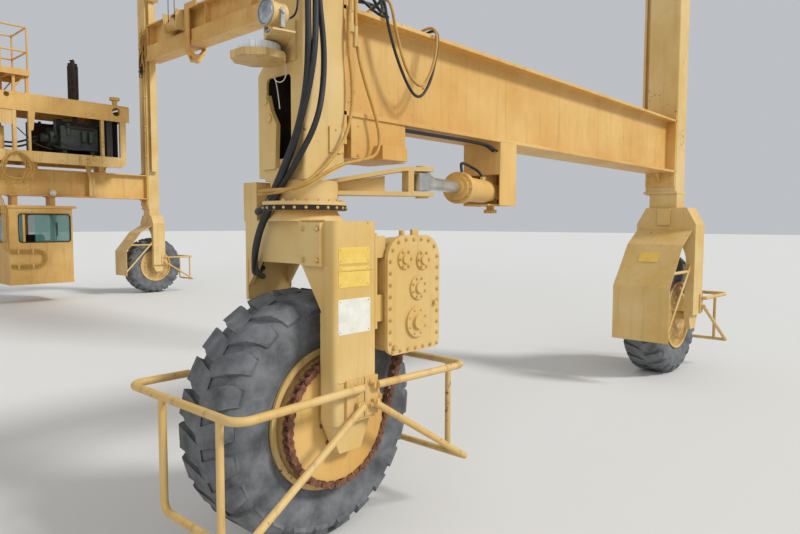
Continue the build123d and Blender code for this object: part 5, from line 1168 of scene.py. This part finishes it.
# wiper on the lane window
bm = bmesh.new()
rod(bm, (0.200, cab_near + 0.010, 2.118), (0.200, cab_near - 0.018, 2.118), 0.014, 12)
rod(bm, (0.200, cab_near - 0.014, 2.118), (0.330, cab_near - 0.006, 1.760), 0.006, 8)
block(bm, (0.322, cab_near, 1.620), (0.338, cab_near + 0.012, 1.940))
finished("wiper", bm, SEAL, "frame", "cab_walls")

# %% [markdown]
# ## Welds and seams
# Plates meet in fillet welds a few millimetres across. They are thin, but they catch light along
# the long corners of the posts and the sills, so these are drawn as slightly uneven rods.

# %% Welds and seams
random.seed(5)


def weld(bm, start, end, size):
    """A bead of short overlapping lengths."""
    start, end = Vector(start), Vector(end)
    count = max(2, int((end - start).length / 0.045))
    for step in range(count):
        a = start.lerp(end, max(0.0, (step - 0.15) / count))
        b = start.lerp(end, min(1.0, (step + 1.15) / count))
        rod(bm, a, b, size * random.uniform(0.85, 1.15), 8)


for side in SIDES:
    x, y, _ = DRIVEN[side]
    bm = bmesh.new()
    for z in (1.030, 1.660):
        weld(bm, (x - POST_HALF + 0.030, y + POST_OUT, z), (x + POST_HALF - 0.030, y + POST_OUT, z), 0.0045)
    for sx in (-1, 1):
        edge = x + sx * POST_HALF
        for across, low, high in ((y + POST_OUT + 0.112, 0.80, 1.42), (y + 0.359, 1.50, 1.70)):
            weld(bm, (edge, across, low), (edge, across, high), 0.005)
    edge, z = x - POST_HALF, BOX_TOP + 0.001
    weld(bm, (edge, y + POST_OUT + 0.08, z), (edge, y + 0.24, z), 0.005)
    finished(f"fork_welds_{side}", bm, ENAMEL_WORN, *FORK[side])
    bm = bmesh.new()
    for sy in (-1, 1):
        for z in (SILL_LOW + FLANGE, SILL_TOP - FLANGE):
            across = y + sy * (WEB_MIDDLE + WEB_HALF)
            weld(bm, (x + LEG_X + 0.03, across, z), (-x - LEG_X - 0.03, across, z), 0.006)
    finished(f"sill_welds_{side}", bm, ENAMEL, "frame", "sills")
print("welds drawn")

# %% [markdown]
# ## Dress the solids
# Each CAD piece gets the finish of the real one, by the start of its name. The rest is enamel.

# %% Dress the solids
# greenish laminated glass: it tints what is behind it and gives one sharp highlight
GLASS = material_of("tinted_safety_glass", "#5E9A90", Roughness=0.05, Alpha=0.38)

FINISH = {
    ENAMEL_PALE: ("fork", "gearbox", "legs", "fenders"), RUBBER: ("tyre",), RUST: ("chain",),
    ENGINE_GREEN: ("engine_block",), SOOT_AND_SHADE: ("exhaust",), CHROME: ("steer_rod",), VINYL: ("cab_seat",),
    GLASS: ("cab_glass", "cab_door_glass"), BARE_CORE: ("radiator",),
    ENAMEL_WORN: ("work_lamps", "guard", "wheel", "winches", "engine_frame")}
for name, solid in nodes.items():
    chosen = next((m for m, starts in FINISH.items() if name.startswith(starts)), ENAMEL)
    solid.data.materials.clear()
    solid.data.materials.append(chosen)
print("dressed", len(nodes), "solids")
